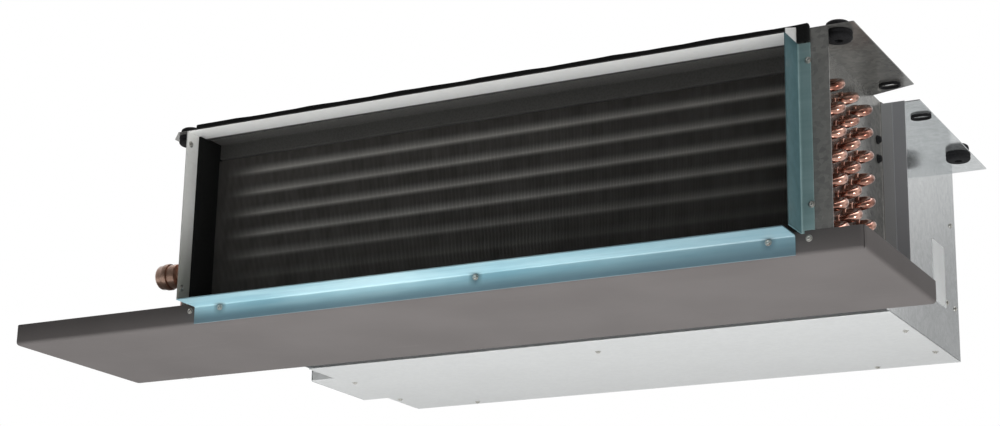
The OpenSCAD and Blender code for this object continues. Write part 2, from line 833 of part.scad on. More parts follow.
module motor_cradle() {
    color("#a5a5a2") placed() difference() {
        union() {
            box(-ring_x - upright_t, ring_x + upright_t, cradle_y0, cradle_y1, t, t + cradle_t);
            for (s = [-1, 1]) box(s * ring_x - upright_t / 2, s * ring_x + upright_t / 2, fan_axis_y - upright_hw,
                fan_axis_y + upright_hw, t + cradle_t / 2, axis_z);
        }
        bar_x(-ring_x - upright_t, ring_x + upright_t, fan_axis_y, axis_z, ring_r + fit);
        bar_x(-ring_x + upright_t, ring_x - upright_t, fan_axis_y, axis_z, motor_r + 2);
        at_bottom() hole();
    }
}

module motor_straps() {
    color("#a5a5a2") placed() for (s = [-1, 1]) translate([s * ring_x - ring_w / 2 + 1, 0, 0]) rotate([90, 0, 90])
        linear_extrude(ring_w - 2) translate([fan_axis_y, axis_z]) difference() {
            union() {
                circle(r = ring_r + fit + strap_t);
                translate([-upright_hw, 0]) square([2 * upright_hw, strap_t]);
            }
            circle(r = ring_r + fit);
            translate([-2 * upright_hw, -2 * upright_hw]) square([4 * upright_hw, 2 * upright_hw]);
        }
}

module electrical_box() {
    color("#c6c6c2") placed() difference() {
        box(-ebox_x, -hw, ebox_y0, ebox_y1, 0, ebox_h);
        box(-ebox_x + t, -hw - t, ebox_y0 + t, ebox_y1 - t, t, ebox_h - t);
        box(-ebox_x - 1, -ebox_x + 2 * t, ebox_y0 + ebox_rim, ebox_y1 - ebox_rim, ebox_rim, ebox_h - ebox_rim);
        bar_y(-ebox_mid, ebox_y1 - 2 * t, ebox_y1 + 1, gland_z, gland_r + fit);
        at_lid() hole();
    }
}

module electrical_lid() {
    color("#c6c6c2") placed() difference() {
        box(-ebox_x - t, -ebox_x, ebox_y0, ebox_y1, 0, ebox_h);
        at_lid() hole();
    }
}

module capacitor() {
    color("#dcdcd8") placed() bar_y(-hw - t - cap_r - 0.2, ebox_y0 + 20, ebox_y0 + 20 + cap_l, ebox_h - 50, cap_r);
}

module terminal_block() {
    color("#e8e6dc") placed() difference() {
        box(-hw - t - block_w, -hw - t, block_y0, block_y0 + block_l, block_z, block_z + block_h);
        for (n = [1:block_poles])
            bar_x(-hw - t - block_w - 1, -hw - t - block_w / 2, block_y0 + n * block_step,
                block_z + block_h / 2, block_pole_r);
    }
}

module cable_gland() {
    color("#2a2a2c") placed() difference() {
        union() {
            bar_y(-ebox_mid, ebox_y1 - 8, ebox_y1 + 12, gland_z, gland_r);
            bar_y(-ebox_mid, ebox_y1, ebox_y1 + 7, gland_z, gland_nut_r);
        }
        bar_y(-ebox_mid, ebox_y1 - 9, ebox_y1 + 13, gland_z, gland_bore_r);
    }
}

// Channel along X, open upward, with a stop at its left end
module rail() {
    difference() {
        box(-rail_x, rail_x, fan_y1, rail_y1, 0, rail_h);
        box(-rail_x + t, rail_x + 1, fan_y1 + t, rail_y1 - t, t, rail_h + 1);
    }
}

module filter_rails() {
    color("#b4b4b0") placed() {
        translate([0, 0, rail_z]) rail();
        translate([0, 0, rail_top]) mirror([0, 0, 1]) rail();
    }
}

module filter_frame() {
    color("#bfc1c2") placed() difference() {
        box(-filter_x, filter_x, filter_y0, filter_y1, filter_z0, filter_z1);
        box(-filter_x + filter_border, filter_x - filter_border, filter_y0 - 1, filter_y1 + 1,
            filter_z0 + filter_border, filter_z1 - filter_border);
    }
}

module filter_medium() {
    color("#e4e6e8") placed() box(-filter_x + filter_border, filter_x - filter_border,
        (filter_y0 + filter_y1 - medium_t) / 2, (filter_y0 + filter_y1 + medium_t) / 2,
        filter_z0 + filter_border, filter_z1 - filter_border);
}

module hanger_grommets() {
    color("#1d1d1f") placed() for (s = [-1, 1]) for (y = [hang_front, hang_rear]) translate([s * hang_x, y, 0])
        rotate_extrude() polygon([[rod_hole_r, under_top - grommet_h], [grommet_r, under_top - grommet_h],
            [grommet_r, under_top], [grommet_neck_r, under_top], [grommet_neck_r, ear_z], [grommet_cap_r, ear_z],
            [grommet_cap_r, ear_z + grommet_cap_h], [rod_hole_r, ear_z + grommet_cap_h]]);
}

module casing_screws() {
    color("#c9cac8") placed() {
        at_bottom() screw();
        at_side(1) screw();
        at_side(-1) screw();
        at_strip() screw();
        at_flange() screw();
        at_lip() screw();
        at_corner() screw();
        at_lid() screw();
    }
}

module end_plugs() {
    color("#1d1d1f") placed() for (p = plug_pts) union() {
        bar_x(hw, hw + 5, p[0], p[1], plug_r);
        bar_x(in_x - 2, hw + 1, p[0], p[1], plug_r - 2);
    }
}

module blank_plate() {
    color("#f2f2f0") placed() box(hw, hw + 0.4, plate_y1 - plate_w, plate_y1,
        plate_z - plate_h / 2, plate_z + plate_h / 2);
}

coil_end_right();
coil_end_left();
coil_top_panel();
collar_top();
collar_bottom();
collar_right();
collar_left();
collar_gasket();
foam_liners();
fin_pack();
coil_tubes();
bends_right();
bends_left();
supply_header();
return_header();
supply_connection();
return_connection();
vent_body();
purge_body();
vent_screw();
purge_screw();
drain_pan();
drain_spigot();
fan_side_right();
fan_side_left();
fan_top_panel();
fan_bottom_panel();
rear_bar();
fan_deck();
scroll_left();
scroll_right();
wheel_left();
wheel_right();
motor_body();
motor_shaft();
motor_rings();
motor_cradle();
motor_straps();
electrical_box();
electrical_lid();
capacitor();
terminal_block();
cable_gland();
filter_rails();
filter_frame();
filter_medium();
hanger_grommets();
casing_screws();
end_plugs();
blank_plate();
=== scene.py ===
from math import cos, pi, radians, sin, tan

import bmesh
import bpy
from mathutils import Matrix, Vector


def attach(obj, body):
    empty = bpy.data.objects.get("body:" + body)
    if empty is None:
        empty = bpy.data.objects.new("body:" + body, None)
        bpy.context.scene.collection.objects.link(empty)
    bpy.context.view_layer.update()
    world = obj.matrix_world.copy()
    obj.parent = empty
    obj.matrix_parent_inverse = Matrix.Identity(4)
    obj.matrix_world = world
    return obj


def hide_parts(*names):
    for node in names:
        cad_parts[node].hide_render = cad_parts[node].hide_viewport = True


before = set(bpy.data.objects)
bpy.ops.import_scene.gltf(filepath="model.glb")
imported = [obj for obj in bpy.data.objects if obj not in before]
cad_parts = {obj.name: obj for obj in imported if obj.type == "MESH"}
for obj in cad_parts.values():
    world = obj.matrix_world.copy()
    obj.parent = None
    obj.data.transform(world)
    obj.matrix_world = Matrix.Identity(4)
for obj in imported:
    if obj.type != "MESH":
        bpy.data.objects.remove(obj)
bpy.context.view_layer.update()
print("frame loaded with", len(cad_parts), "nodes")


# Working sizes are in mm: X from the middle, Y from the coil front, Z from the underside
unit = {
    "hangerMiddle": 235.0, "earTop": 237.0, "halfWidth": 372.0, "sheet": 1.2, "innerX": 370.8,
    "coilDepth": 240.0, "fanFront": 240.0, "fanRear": 523.0, "earUnder": 235.8,
}
coil = {"front": 28.0, "base": 26.0, "pitch": 25.4, "rowPitch": 22.0, "levels": 7, "stub": 6.0}


def spot(x, y, z):    # also for a profile in X and Y
    return Vector((x, y - unit["hangerMiddle"], z - unit["earTop"])) / 1000


def alongX(u, v, w):    # profile in Y and Z
    return spot(w, u, v)


def alongY(u, v, w):    # profile in X and Z
    return spot(u, w, v)


def localPlace(u, v, w):    # a loose piece around its own origin
    return Vector((u, v, w)) / 1000


def tubeY(row):
    return coil["front"] + coil["rowPitch"] * (row + 0.5)


def tubeZ(row, level):
    return coil["base"] + coil["pitch"] * (level + 0.25 + (0.5 if row % 2 else 0.0))


# Shader and geometry node maths


def mathNode(operation, swapped=False):
    def join(wire, other):
        return wire.calc(operation, other, wire) if swapped else wire.calc(operation, wire, other)
    return join


class Wire:
    def __init__(self, tree, socket=None):
        self.tree = tree
        self.socket = socket

    def node(self, kind, feeds=None, out=0, **settings):    # a kind without prefix is a ShaderNode
        whole = kind.startswith(("Geometry", "NodeGroup"))
        made = self.tree.nodes.new(kind if whole else "ShaderNode" + kind)
        for key, value in settings.items():
            setattr(made, key, value)
        for key, value in (feeds or {}).items():
            self.feed(made.inputs[key], value)
        return Wire(self.tree, made.outputs[out] if len(made.outputs) else None)

    def feed(self, entry, value):
        if isinstance(value, Wire):
            self.tree.links.new(value.socket, entry)
        else:
            entry.default_value = value

    def calc(self, operation, *values):
        return self.node("Math", dict(enumerate(values)), operation=operation)

    __add__, __radd__ = mathNode("ADD"), mathNode("ADD", True)
    __sub__, __rsub__ = mathNode("SUBTRACT"), mathNode("SUBTRACT", True)
    __mul__, __rmul__ = mathNode("MULTIPLY"), mathNode("MULTIPLY", True)
    __truediv__ = mathNode("DIVIDE")
    least, most = mathNode("MINIMUM"), mathNode("MAXIMUM")
    above, below = mathNode("GREATER_THAN"), mathNode("LESS_THAN")
    power = mathNode("POWER")

    def cosine(self):
        return self.calc("COSINE", self)

    def absolute(self):
        return self.calc("ABSOLUTE", self)

    def fraction(self):
        return self.calc("FRACT", self)

    def parts(self):    # X, Y and Z of a vector
        split = self.node("SeparateXYZ", {0: self}).socket.node
        return [Wire(self.tree, socket) for socket in split.outputs]

    def remap(self, low, high, newLow=0.0, newHigh=1.0):
        ends = {"From Min": low, "From Max": high, "To Min": newLow, "To Max": newHigh}
        return self.node("MapRange", {"Value": self, **ends}, interpolation_type="SMOOTHSTEP")

    def blend(self, first, second):    # between wires or display colours
        ends = [end if isinstance(end, Wire) else shade(*end) for end in (first, second)]
        return self.node("Mix", {0: self, 6: ends[0], 7: ends[1]}, 2, data_type="RGBA")


def shade(red, green, blue):    # a display colour, 0 to 255, as the shader reads it
    levels = [value / 255 for value in (red, green, blue)]
    linear = [value / 12.92 if value < 0.04045 else ((value + 0.055) / 1.055) ** 2.4 for value in levels]
    return linear + [1.0]


def makeFinish(name, recipe, *colours, **settings):    # a recipe gives values for the shader's inputs
    finish = bpy.data.materials.new(name)
    finish.use_nodes = True
    finish.node_tree.nodes.clear()
    start = Wire(finish.node_tree)
    shader = start.node("BsdfPrincipled")
    start.node("OutputMaterial", {"Surface": shader})
    place = start.node("TexCoord", out="Object")
    for key, value in recipe(place, *colours, **settings).items():
        start.feed(shader.socket.node.inputs[key], value)
    return finish


def noise(place, scale, detail=3.0, stretch=None):
    if stretch:
        place = place.node("Mapping", {"Vector": place, "Scale": stretch})
    return place.node("TexNoise", {"Vector": place, "Scale": scale, "Detail": detail}, "Fac")


def cellular(place, scale, feature="F1", out=0):
    return place.node("TexVoronoi", {"Vector": place, "Scale": scale}, out, feature=feature)


def bump(height, strength, distance):
    return height.node("Bump", {"Height": height, "Strength": strength, "Distance": distance})


sectionSeam = {"outside": 0.3738, "top": -0.003, "front": 0.0, "rear": 0.012, "metal": 0.1, "duller": 0.3}


def zincFinish(place, dark, light, metal, rough, spangle=210.0, grime=None, flange=None, tape=None):
    flakes = cellular(place, spangle, out="Color")
    flake = flakes.node("SeparateColor", {0: flakes}, "Red")
    cloud = noise(place, 14.0, 4.0)
    grain = noise(place, 900.0, 2.0)
    roll = noise(place, 60.0, 3.0, (1.0, 1.0, 9.0))    # faint marks of the rolling mill
    colour = (flake * 0.3 + cloud * 0.45 + roll * 0.25).remap(0.15, 0.85).blend(dark, light)
    x, y, z = place.parts()
    if grime:    # painted shade, darker towards the low end
        colour = z.remap(grime["low"], grime["high"]).blend(grime["shade"], colour)
    if tape:    # a dark line along the front edge, and painted shade along the rear edge where the strip meets the recess
        edgeLineAndShadeMask = y.below(tape["front"]).most(y.remap(*tape["rear"]))
        colour = edgeLineAndShadeMask.blend(colour, tape["shade"])
    if flange:    # the flanges between the two sections, flat grey and duller, painted to stand in for the darker reflection they show
        s = sectionSeam
        edge = x.absolute().above(s["outside"]) * z.below(s["top"])
        edge = edge * y.above(s["front"]) * y.below(s["rear"])
        colour = edge.blend(colour, flange)
        metal = metal - edge * (metal - s["metal"])
        rough = rough + edge * s["duller"]
    return {
        "Base Color": colour,
        "Metallic": metal,
        "Roughness": rough - 0.05 + flake * 0.04 + cloud * 0.05 + grain * 0.03,
        "Normal": bump(flake * 0.4 + grain * 0.5 + cloud * 0.6, 0.03, 0.0003),
    }


def paintFinish(place, dark, light, rough, peel=700.0, metal=0.0, gloss=0.5):
    cloud = noise(place, 9.0, 5.0)
    speck = noise(place, peel, 2.0)
    scuff = noise(place, 40.0, 4.0, (0.3, 3.0, 3.0)).remap(0.62, 0.8)
    tone = (cloud * 0.7 + speck * 0.3).remap(0.3, 0.7)
    return {
        "Base Color": (scuff * 0.3).blend(tone.blend(dark, light), light),
        "Metallic": metal,
        "Roughness": rough + speck * 0.12 - scuff * 0.08,
        "Specular IOR Level": gloss,
        "Normal": bump(speck, 0.08, 0.0003),
    }


screwPull = {
    "period": 0.329, "depth": -0.2367, "height": -0.219, "reach": (0.009, 0.008, 0.011), "gain": 2.4,
    "limit": 0.8, "shade": (52, 78, 86), "rightwardTone": (112, 142, 154), "rightwardRange": (0.02, 0.34, 0.0, 0.62),
}


def filmFinish(place, leg, flange, axis, fold, pulled=False):    # two tones of one film, one on each side of the fold, painted to stand in for how each face is lit
    along, deep, height = place.parts()
    overFold = {"Y": deep, "Z": height}[axis].remap(*fold)
    patch = noise(place, 5.0, 4.0, (1.0, 2.5, 2.5))
    crease = noise(place, 34.0, 5.0, (0.5, 2.0, 2.0))
    bubble = cellular(place, 160.0, "SMOOTH_F1")
    streak = noise(place, 110.0, 3.0, (0.06, 1.0, 1.0))    # long streaks of painted sheen along the film
    tone = (patch * 0.5 + crease * 0.15 + streak * 0.35).remap(0.35, 0.66)
    colour = overFold.blend(tone.blend(*leg), tone.blend(*flange))
    if pulled:    # creased where a screw pulls the film in, with painted shade in the dent around it, and darker towards the right
        p = screwPull
        aside = ((along / p["period"] + 0.5).fraction() - 0.5).absolute() * p["period"]
        gaps = (aside, (deep - p["depth"]).absolute(), (height - p["height"]).absolute())
        near = crease * p["gain"]
        for gap, reach in zip(gaps, p["reach"]):
            near = near * (1 - gap / reach).most(0.0)
        colour = near.least(p["limit"]).blend(colour, p["shade"])
        colour = along.remap(*p["rightwardRange"]).blend(colour, p["rightwardTone"])
    return {
        "Base Color": colour,
        "Roughness": 0.28 + crease * 0.2,
        "Coat Weight": 0.35 + patch * 0.3,
        "Coat Roughness": 0.12,
        "Normal": bump(crease * 0.8 + bubble * 0.2, 0.16, 0.0008),
    }


def foamFinish(place, dark, light, pores=520.0, ceiling=None, depth=0.35):
    cells = cellular(place, pores)
    cloud = noise(place, 25.0, 4.0)
    tone = (cells * 0.8 + cloud * 0.4).remap(0.2, 0.8)
    colour = tone.blend(dark, light)
    if ceiling:    # the upper lining is greyer than the side strips
        between = place.parts()[0].absolute().below(ceiling["halfWidth"])
        colour = between.blend(colour, tone.blend(ceiling["dark"], ceiling["light"]))
    return {
        "Base Color": colour,
        "Roughness": 0.86 + cloud * 0.1,
        "Specular IOR Level": 0.25,
        "Normal": bump(cells, depth, 0.0006),
    }


def tubeFinish(place, bright, worn, rough, metal=1.0):
    stain = noise(place, 55.0, 5.0)
    fleck = noise(place, 420.0, 3.0)
    worked = (stain * 0.75 + fleck * 0.25).remap(0.36, 0.66)
    return {
        "Base Color": worked.blend(bright, worn),
        "Metallic": metal,
        "Roughness": rough + worked * 0.12,
        "Coat Weight": 0.5,
        "Coat Roughness": 0.08,
        "Normal": bump(fleck, 0.06, 0.0003),
    }


finGlint = {"above": 0.42, "below": 0.2, "fadeLow": 35.0, "fadeHigh": 120.0, "fadeLeft": (-0.358, -0.29)}


def finFinish(place, edge, deep, band):
    g = finGlint
    across, height = place.parts()[::2]
    lowestTube, fadeLow, fadeHigh = [spot(0, 0, z).z for z in (tubeZ(0, 0), g["fadeLow"], g["fadeHigh"])]
    # glint is a painted highlight of the tubes seen between the fins, its strength varied by the dust noise;
    # lit is painted shade that fades it towards the left end and the bottom
    phase = ((height - lowestTube) * (1000 / coil["pitch"])).fraction()    # 0 at a tube, 1 at the next
    over = (1 - phase / g["above"]).most(0.0)
    under = ((phase - (1 - g["below"])) / g["below"]).most(0.0)
    glint = over.power(1.6).most(under.power(1.5))
    lit = height.remap(fadeLow, fadeHigh) * across.remap(*g["fadeLeft"])
    dust = noise(place, 30.0, 5.0)
    streak = noise(place, 160.0, 3.0, (1.0, 1.0, 0.12))
    ground = (dust * 0.5 + streak * 0.5).remap(0.3, 0.7).blend(deep, edge)
    return {
        "Base Color": (glint * lit * (0.85 + dust * 0.3)).blend(ground, band),
        "Metallic": 0.1,
        "Roughness": 0.5 + dust * 0.15,
        "Normal": bump(streak, 0.05, 0.0004),
    }


def clothFinish(place, dark, light):
    fibre = noise(place, 260.0, 5.0, (1.0, 4.0, 1.0))
    cross = noise(place, 260.0, 5.0, (1.0, 1.0, 5.0))
    dust = noise(place, 12.0, 4.0)
    tone = (fibre * 0.4 + cross * 0.4 + dust * 0.2).remap(0.35, 0.65)
    return {
        "Base Color": tone.blend(dark, light),
        "Roughness": 0.85 + dust * 0.1,
        "Sheen Weight": 0.3,
        "Normal": bump(fibre + cross, 0.5, 0.0006),
    }


looks = {    # the recipe of each finish, its two display colours and its other settings
    # coilZinc and fanZinc are one zinc in two tones: the darker coil copy is painted to stand in for the
    # shade and darker reflection on the coil casing
    "coilZinc": (zincFinish, (138, 138, 136), (172, 171, 167),
                 {"metal": 0.6, "rough": 0.2, "flange": (172, 174, 176)}),
    "fanZinc": (zincFinish, (199, 203, 204), (221, 224, 225),
                {"metal": 0.75, "rough": 0.12, "flange": (164, 166, 170)}),
    "panelZinc": (zincFinish, (198, 200, 200), (207, 209, 209), {"metal": 0.12, "rough": 0.5}),
    # paleStrip: a dark line along its front edge and painted shade along its rear edge
    "paleStrip": (zincFinish, (246, 246, 244), (252, 252, 250), {"metal": 0.05, "rough": 0.42, "tape": {
        "front": -0.2716, "rear": (-0.2415, -0.2385), "shade": (62, 61, 60)}}),
    # leftStrip: the zinc painted near white to stand in for the light on it, with painted shade towards the
    # low end
    "leftStrip": (zincFinish, (246, 246, 242), (253, 253, 250), {"metal": 0.05, "rough": 0.36, "grime": {
        "low": -0.205, "high": -0.085, "shade": (150, 151, 144)}}),
    # each face of the film gets its own tone, painted to stand in for how it is lit
    "blueFilm": (filmFinish, ((150, 194, 207), (196, 229, 237)), ((112, 140, 151), (128, 156, 167)),
                 {"axis": "Z", "fold": (-0.2175, -0.2335), "pulled": True}),
    "tealFilm": (filmFinish, ((72, 104, 110), (96, 128, 134)), ((140, 171, 172), (161, 189, 190)),
                 {"axis": "Y", "fold": (-0.2385, -0.2365)}),
    "panPaint": (paintFinish, (110, 106, 105), (117, 113, 112), {"rough": 0.6, "gloss": 0.05}),
    "blackFoam": (foamFinish, (5, 6, 5), (18, 18, 18), {}),
    "liningFoam": (foamFinish, (2, 3, 2), (10, 11, 10), {"pores": 420.0, "depth": 0.08, "ceiling": {
        "halfWidth": 0.3596, "dark": (82, 81, 79), "light": (90, 89, 87)}}),
    # band: the colour of the painted tube highlight on the fins
    "finMetal": (finFinish, (140, 137, 133), (116, 113, 109), {"band": (246, 244, 240)}),
    "copperTube": (tubeFinish, (204, 158, 140), (128, 78, 62), {"rough": 0.1}),
    "brownBrass": (tubeFinish, (206, 170, 150), (156, 122, 104), {"rough": 0.3, "metal": 0.7}),
    "brass": (tubeFinish, (214, 182, 110), (150, 118, 66), {"rough": 0.26}),
    "whitePlastic": (paintFinish, (214, 216, 214), (232, 233, 231), {"rough": 0.42, "peel": 1100.0}),
    "barePlate": (paintFinish, (244, 247, 247), (251, 253, 253), {"rough": 0.4, "peel": 900.0}),
    "blackPlastic": (paintFinish, (30, 30, 31), (48, 48, 50), {"rough": 0.4, "peel": 900.0}),
    "motorPaint": (paintFinish, (64, 66, 68), (88, 90, 92), {"rough": 0.45, "peel": 380.0, "metal": 0.3}),
    "shaftSteel": (tubeFinish, (206, 206, 204), (150, 150, 148), {"rough": 0.22}),
    "blackRubber": (foamFinish, (17, 17, 18), (38, 38, 40), {"pores": 900.0}),
    "filterAlloy": (zincFinish, (176, 178, 178), (206, 208, 208),
                    {"metal": 0.85, "rough": 0.34, "spangle": 160.0}),
    "filterCloth": (clothFinish, (176, 180, 180), (226, 228, 226), {}),
    "screwZinc": (zincFinish, (150, 148, 142), (206, 205, 200),
                  {"metal": 0.9, "rough": 0.28, "spangle": 300.0}),
}
finishes = {}
for name, (recipe, first, second, more) in looks.items():
    finishes[name] = makeFinish(name, recipe, first, second, **more)
print("finishes made:", len(finishes))


# Mesh building


def cornerArc(before, corner, after, radius, steps):
    toward = (before - corner).normalized()
    onward = (after - corner).normalized()
    half = toward.angle(onward) / 2
    middle = corner + (toward + onward).normalized() * radius / sin(half)
    first = corner + toward * radius / tan(half) - middle
    last = corner + onward * radius / tan(half) - middle
    turn = first.angle_signed(last)
    return [middle + Matrix.Rotation(-turn * step / steps, 2) @ first for step in range(steps + 1)]


def roundPath(points, radius, steps=4):
    points = [Vector(point) for point in points]
    path = [points[0]]
    for before, corner, after in zip(points, points[1:], points[2:]):
        straight = (before - corner).angle(after - corner) > radians(175)
        path += [corner] if straight else cornerArc(before, corner, after, radius, steps)
    return path + [points[-1]]


def offsetPath(path, amount):    # to the left of the way the path runs
    moved = []
    for index, point in enumerate(path):
        sides = []
        if index:
            sides.append((point - path[index - 1]).normalized())
        if index < len(path) - 1:
            sides.append((path[index + 1] - point).normalized())
        left = [Vector((-side.y, side.x)) for side in sides]
        mean = sum(left, Vector((0, 0))).normalized()
        moved.append(point + mean * amount / max(0.3, mean.dot(left[0])))
    return moved


def addSheet(shell, points, thick, place, span, radius):
    path = roundPath(points, radius) if radius else [Vector(point) for point in points]
    other = offsetPath(path, thick)
    rings = []
    for near, far in zip(path, other):
        low, high = span(near) if callable(span) else span
        corners = [(near, low), (near, high), (far, high), (far, low)]
        rings.append([shell.verts.new(place(point.x, point.y, end)) for point, end in corners])
    stitch(shell, rings)


def stitch(shell, rings, capped=True):
    for ring, following in zip(rings, rings[1:]):
        for index in range(len(ring)):
            after = (index + 1) % len(ring)
            shell.faces.new((ring[index], ring[after], following[after], following[index]))
    if capped:
        shell.faces.new(rings[0])
        shell.faces.new(rings[-1])


def addPlate(shell, outline, holes, low, high, place):
    edges = []
    for loop in [outline] + holes:
        verts = [shell.verts.new(place(u, v, low)) for u, v in loop]
        edges += [shell.edges.new((verts[index - 1], verts[index])) for index in range(len(verts))]
    filled = bmesh.ops.triangle_fill(shell, edges=edges, use_beauty=True)
    faces = [item for item in filled["geom"] if isinstance(item, bmesh.types.BMFace)]
    raised = bmesh.ops.extrude_face_region(shell, geom=faces)
    lift = place(0, 0, high) - place(0, 0, low)
    for item in raised["geom"]:
        if isinstance(item, bmesh.types.BMVert):
            item.co += lift


def slotLoop(x, y, length, width, steps=8):    # a slot that runs along X
    loop = []
    radius = width / 2
    straight = length / 2 - radius
    for end, start in ((1, -pi / 2), (-1, pi / 2)):
        for step in range(steps + 1):
            angle = start + pi * step / steps
            loop.append((x + end * straight + radius * cos(angle), y + radius * sin(angle)))
    return loop


def addRim(shell, x, y, place):    # a black edging below the rim of an ear slot, standing in for the shade seen in the slot
    e, top = earHoles, unit["earUnder"]
    wall, low = e["edgeWall"], unit["earUnder"] - e["edgeDepth"]
    loops = []
    for grow, height in ((0.05, top), (wall, top), (wall, low + 0.5), (0.75 * wall, low),
                         (0.25 * wall, low), (0.05, low + 0.5), (0.05, top)):
        loops.append((slotLoop(x, y, e["slotLength"] + 2 * grow, e["slotWidth"] + 2 * grow), height))
    addLoft(shell, loops, place, False)


def turns(steps):    # angles all the way round
    return [2 * pi * step / steps for step in range(steps)]


def circleLoop(x, y, radius, steps=24):
    return [(x + radius * cos(angle), y + radius * sin(angle)) for angle in turns(steps)]


def roundedLoop(box, inset, radius, notch=0.0):    # a notch is a seam in every corner
    u0, u1, v0, v1 = box[0] + inset, box[1] - inset, box[2] + inset, box[3] - inset
    loop = []
    angles = (0, 15, 30, 41, 45, 49, 60, 75, 90) if notch else range(0, 91, 15)
    corners = ((u1 - radius, v1 - radius), (u0 + radius, v1 - radius),
               (u0 + radius, v0 + radius), (u1 - radius, v0 + radius))
    for index, (u, v) in enumerate(corners):
        for angle in angles:
            reach = radius - (notch if angle == 45 else 0.0)
            turn = radians(angle + 90 * index)
            loop.append((u + reach * cos(turn), v + reach * sin(turn)))
    return loop


def addLoft(shell, loops, place, capped=True):    # loops of (points, height)
    rings = [[shell.verts.new(place(u, v, height)) for u, v in points] for points, height in loops]
    stitch(shell, rings, capped)


def addLathe(shell, profile, place, steps, closed=False):    # profile of (along, radius)
    rings = [[shell.verts.new(place(along, u, v)) for u, v in circleLoop(0.0, 0.0, radius, steps)]
             for along, radius in profile]
    stitch(shell, rings + rings[:1] if closed else rings, not closed)


def addTube(shell, path, radius, across, place, steps):    # a round tube along a path in one plane
    rings = []
    for index, point in enumerate(path):
        before = path[max(0, index - 1)]
        after = path[min(len(path) - 1, index + 1)]
        side = (after - before).normalized().cross(across)
        rings.append([shell.verts.new(place(*(point + side * u + across * v)))
                      for u, v in circleLoop(0.0, 0.0, radius, steps)])
    stitch(shell, rings)


def plainMesh(shell, name):
    bmesh.ops.remove_doubles(shell, verts=shell.verts, dist=1e-6)
    bmesh.ops.recalc_face_normals(shell, faces=shell.faces)
    mesh = bpy.data.meshes.new(name)
    shell.to_mesh(mesh)
    shell.free()
    return mesh


def addObject(name, data):
    made = bpy.data.objects.new(name, data)
    bpy.context.scene.collection.objects.link(made)
    return made


def addPiece(name, mesh, finish, nodes, body="casing", angle=32.0):
    piece = addObject(name, mesh)
    if finish:
        mesh.materials.clear()
        mesh.materials.append(finishes[finish])
    mesh.polygons.foreach_set("use_smooth", [True] * len(mesh.polygons))
    mesh.set_sharp_from_angle(angle=radians(angle))
    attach(piece, body)
    if nodes:
        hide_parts(*nodes)
    return piece


def addShell(shell, name, finish, node, body="casing", angle=32.0):
    return addPiece(name, plainMesh(shell, name), finish, [node], body, angle)


# Geometry node trees


def newTree(name, sizes):
    tree = bpy.data.node_groups.new(name, "GeometryNodeTree")
    tree.interface.new_socket("Geometry", in_out="INPUT", socket_type="NodeSocketGeometry")
    for label, kind in sizes:
        tree.interface.new_socket(label, in_out="INPUT", socket_type="NodeSocket" + kind)
    tree.interface.new_socket("Geometry", in_out="OUTPUT", socket_type="NodeSocketGeometry")
    entry = tree.nodes.new("NodeGroupInput")
    return tree, [Wire(tree, socket) for socket in entry.outputs if socket.name]


def endTree(shape, material):
    real = shape.node("GeometryNodeRealizeInstances", {0: shape})
    painted = shape.node("GeometryNodeSetMaterial", {"Geometry": real, "Material": material})
    shape.node("NodeGroupOutput", {0: painted})


def runTree(name, tree, sizes, points=None):    # what the tree makes, as a plain mesh
    if points is None:
        points = bpy.data.meshes.new(name + "Points")
    holder = addObject(name + "Holder", points)
    grow = holder.modifiers.new("grow", "NODES")
    grow.node_group = tree
    labels = {item.name: item.identifier for item in tree.interface.items_tree if item.in_out == "INPUT"}
    for label, value in sizes.items():
        grow[labels[label]] = value
    view = bpy.context.evaluated_depsgraph_get()
    mesh = bpy.data.meshes.new_from_object(holder.evaluated_get(view))
    mesh.name = name
    holder.modifiers.remove(grow)
    bpy.data.objects.remove(holder)
    return mesh


def scatterTree():
    tree, (start, piece, size, finish) = newTree("scatterPieces", [
        ("Piece", "Object"), ("Size", "Float"), ("Finish", "Material")])
    part = start.node("GeometryNodeObjectInfo", {"Object": piece}, "Geometry", transform_space="ORIGINAL")
    turn = start.node("GeometryNodeInputNamedAttribute", {"Name": "turn"}, data_type="FLOAT_VECTOR")
    placed = start.node("GeometryNodeInstanceOnPoints", {
        "Points": start, "Instance": part, "Rotation": turn, "Scale": size})
    endTree(placed, finish)
    return tree


scatterPieces = scatterTree()


def scatter(name, mesh, places, finish, node, angle=40.0):    # places of (point, turn)
    part = addObject(name + "One", mesh)
    points = bpy.data.meshes.new(name + "Points")
    points.from_pydata([point for point, turn in places], [], [])
    turned = points.attributes.new("turn", "FLOAT_VECTOR", "POINT")
    turned.data.foreach_set("vector", [value for point, turn in places for value in turn])
    made = runTree(name, scatterPieces, {"Piece": part, "Size": 1.0, "Finish": finishes[finish]}, points)
    bpy.data.objects.remove(part)
    addPiece(name, made, None, [node], angle=angle)


facing = {    # turns that send a piece's own +Z out of a surface
    "down": (pi, 0.0, 0.0), "up": (0.0, 0.0, 0.0), "front": (pi / 2, 0.0, 0.0),
    "right": (0.0, pi / 2, 0.0), "left": (0.0, -pi / 2, 0.0),
}


# Drain pan

panTray = {
    "box": (-627.0, 428.0, -0.5, 240.0), "height": 25.0, "sheet": 1.5, "corner": 6.0,
    "innerCorner": 0.8, "fold": 4.5, "seam": 1.3, "seamLow": 2.0, "noSeam": 0.001,
}


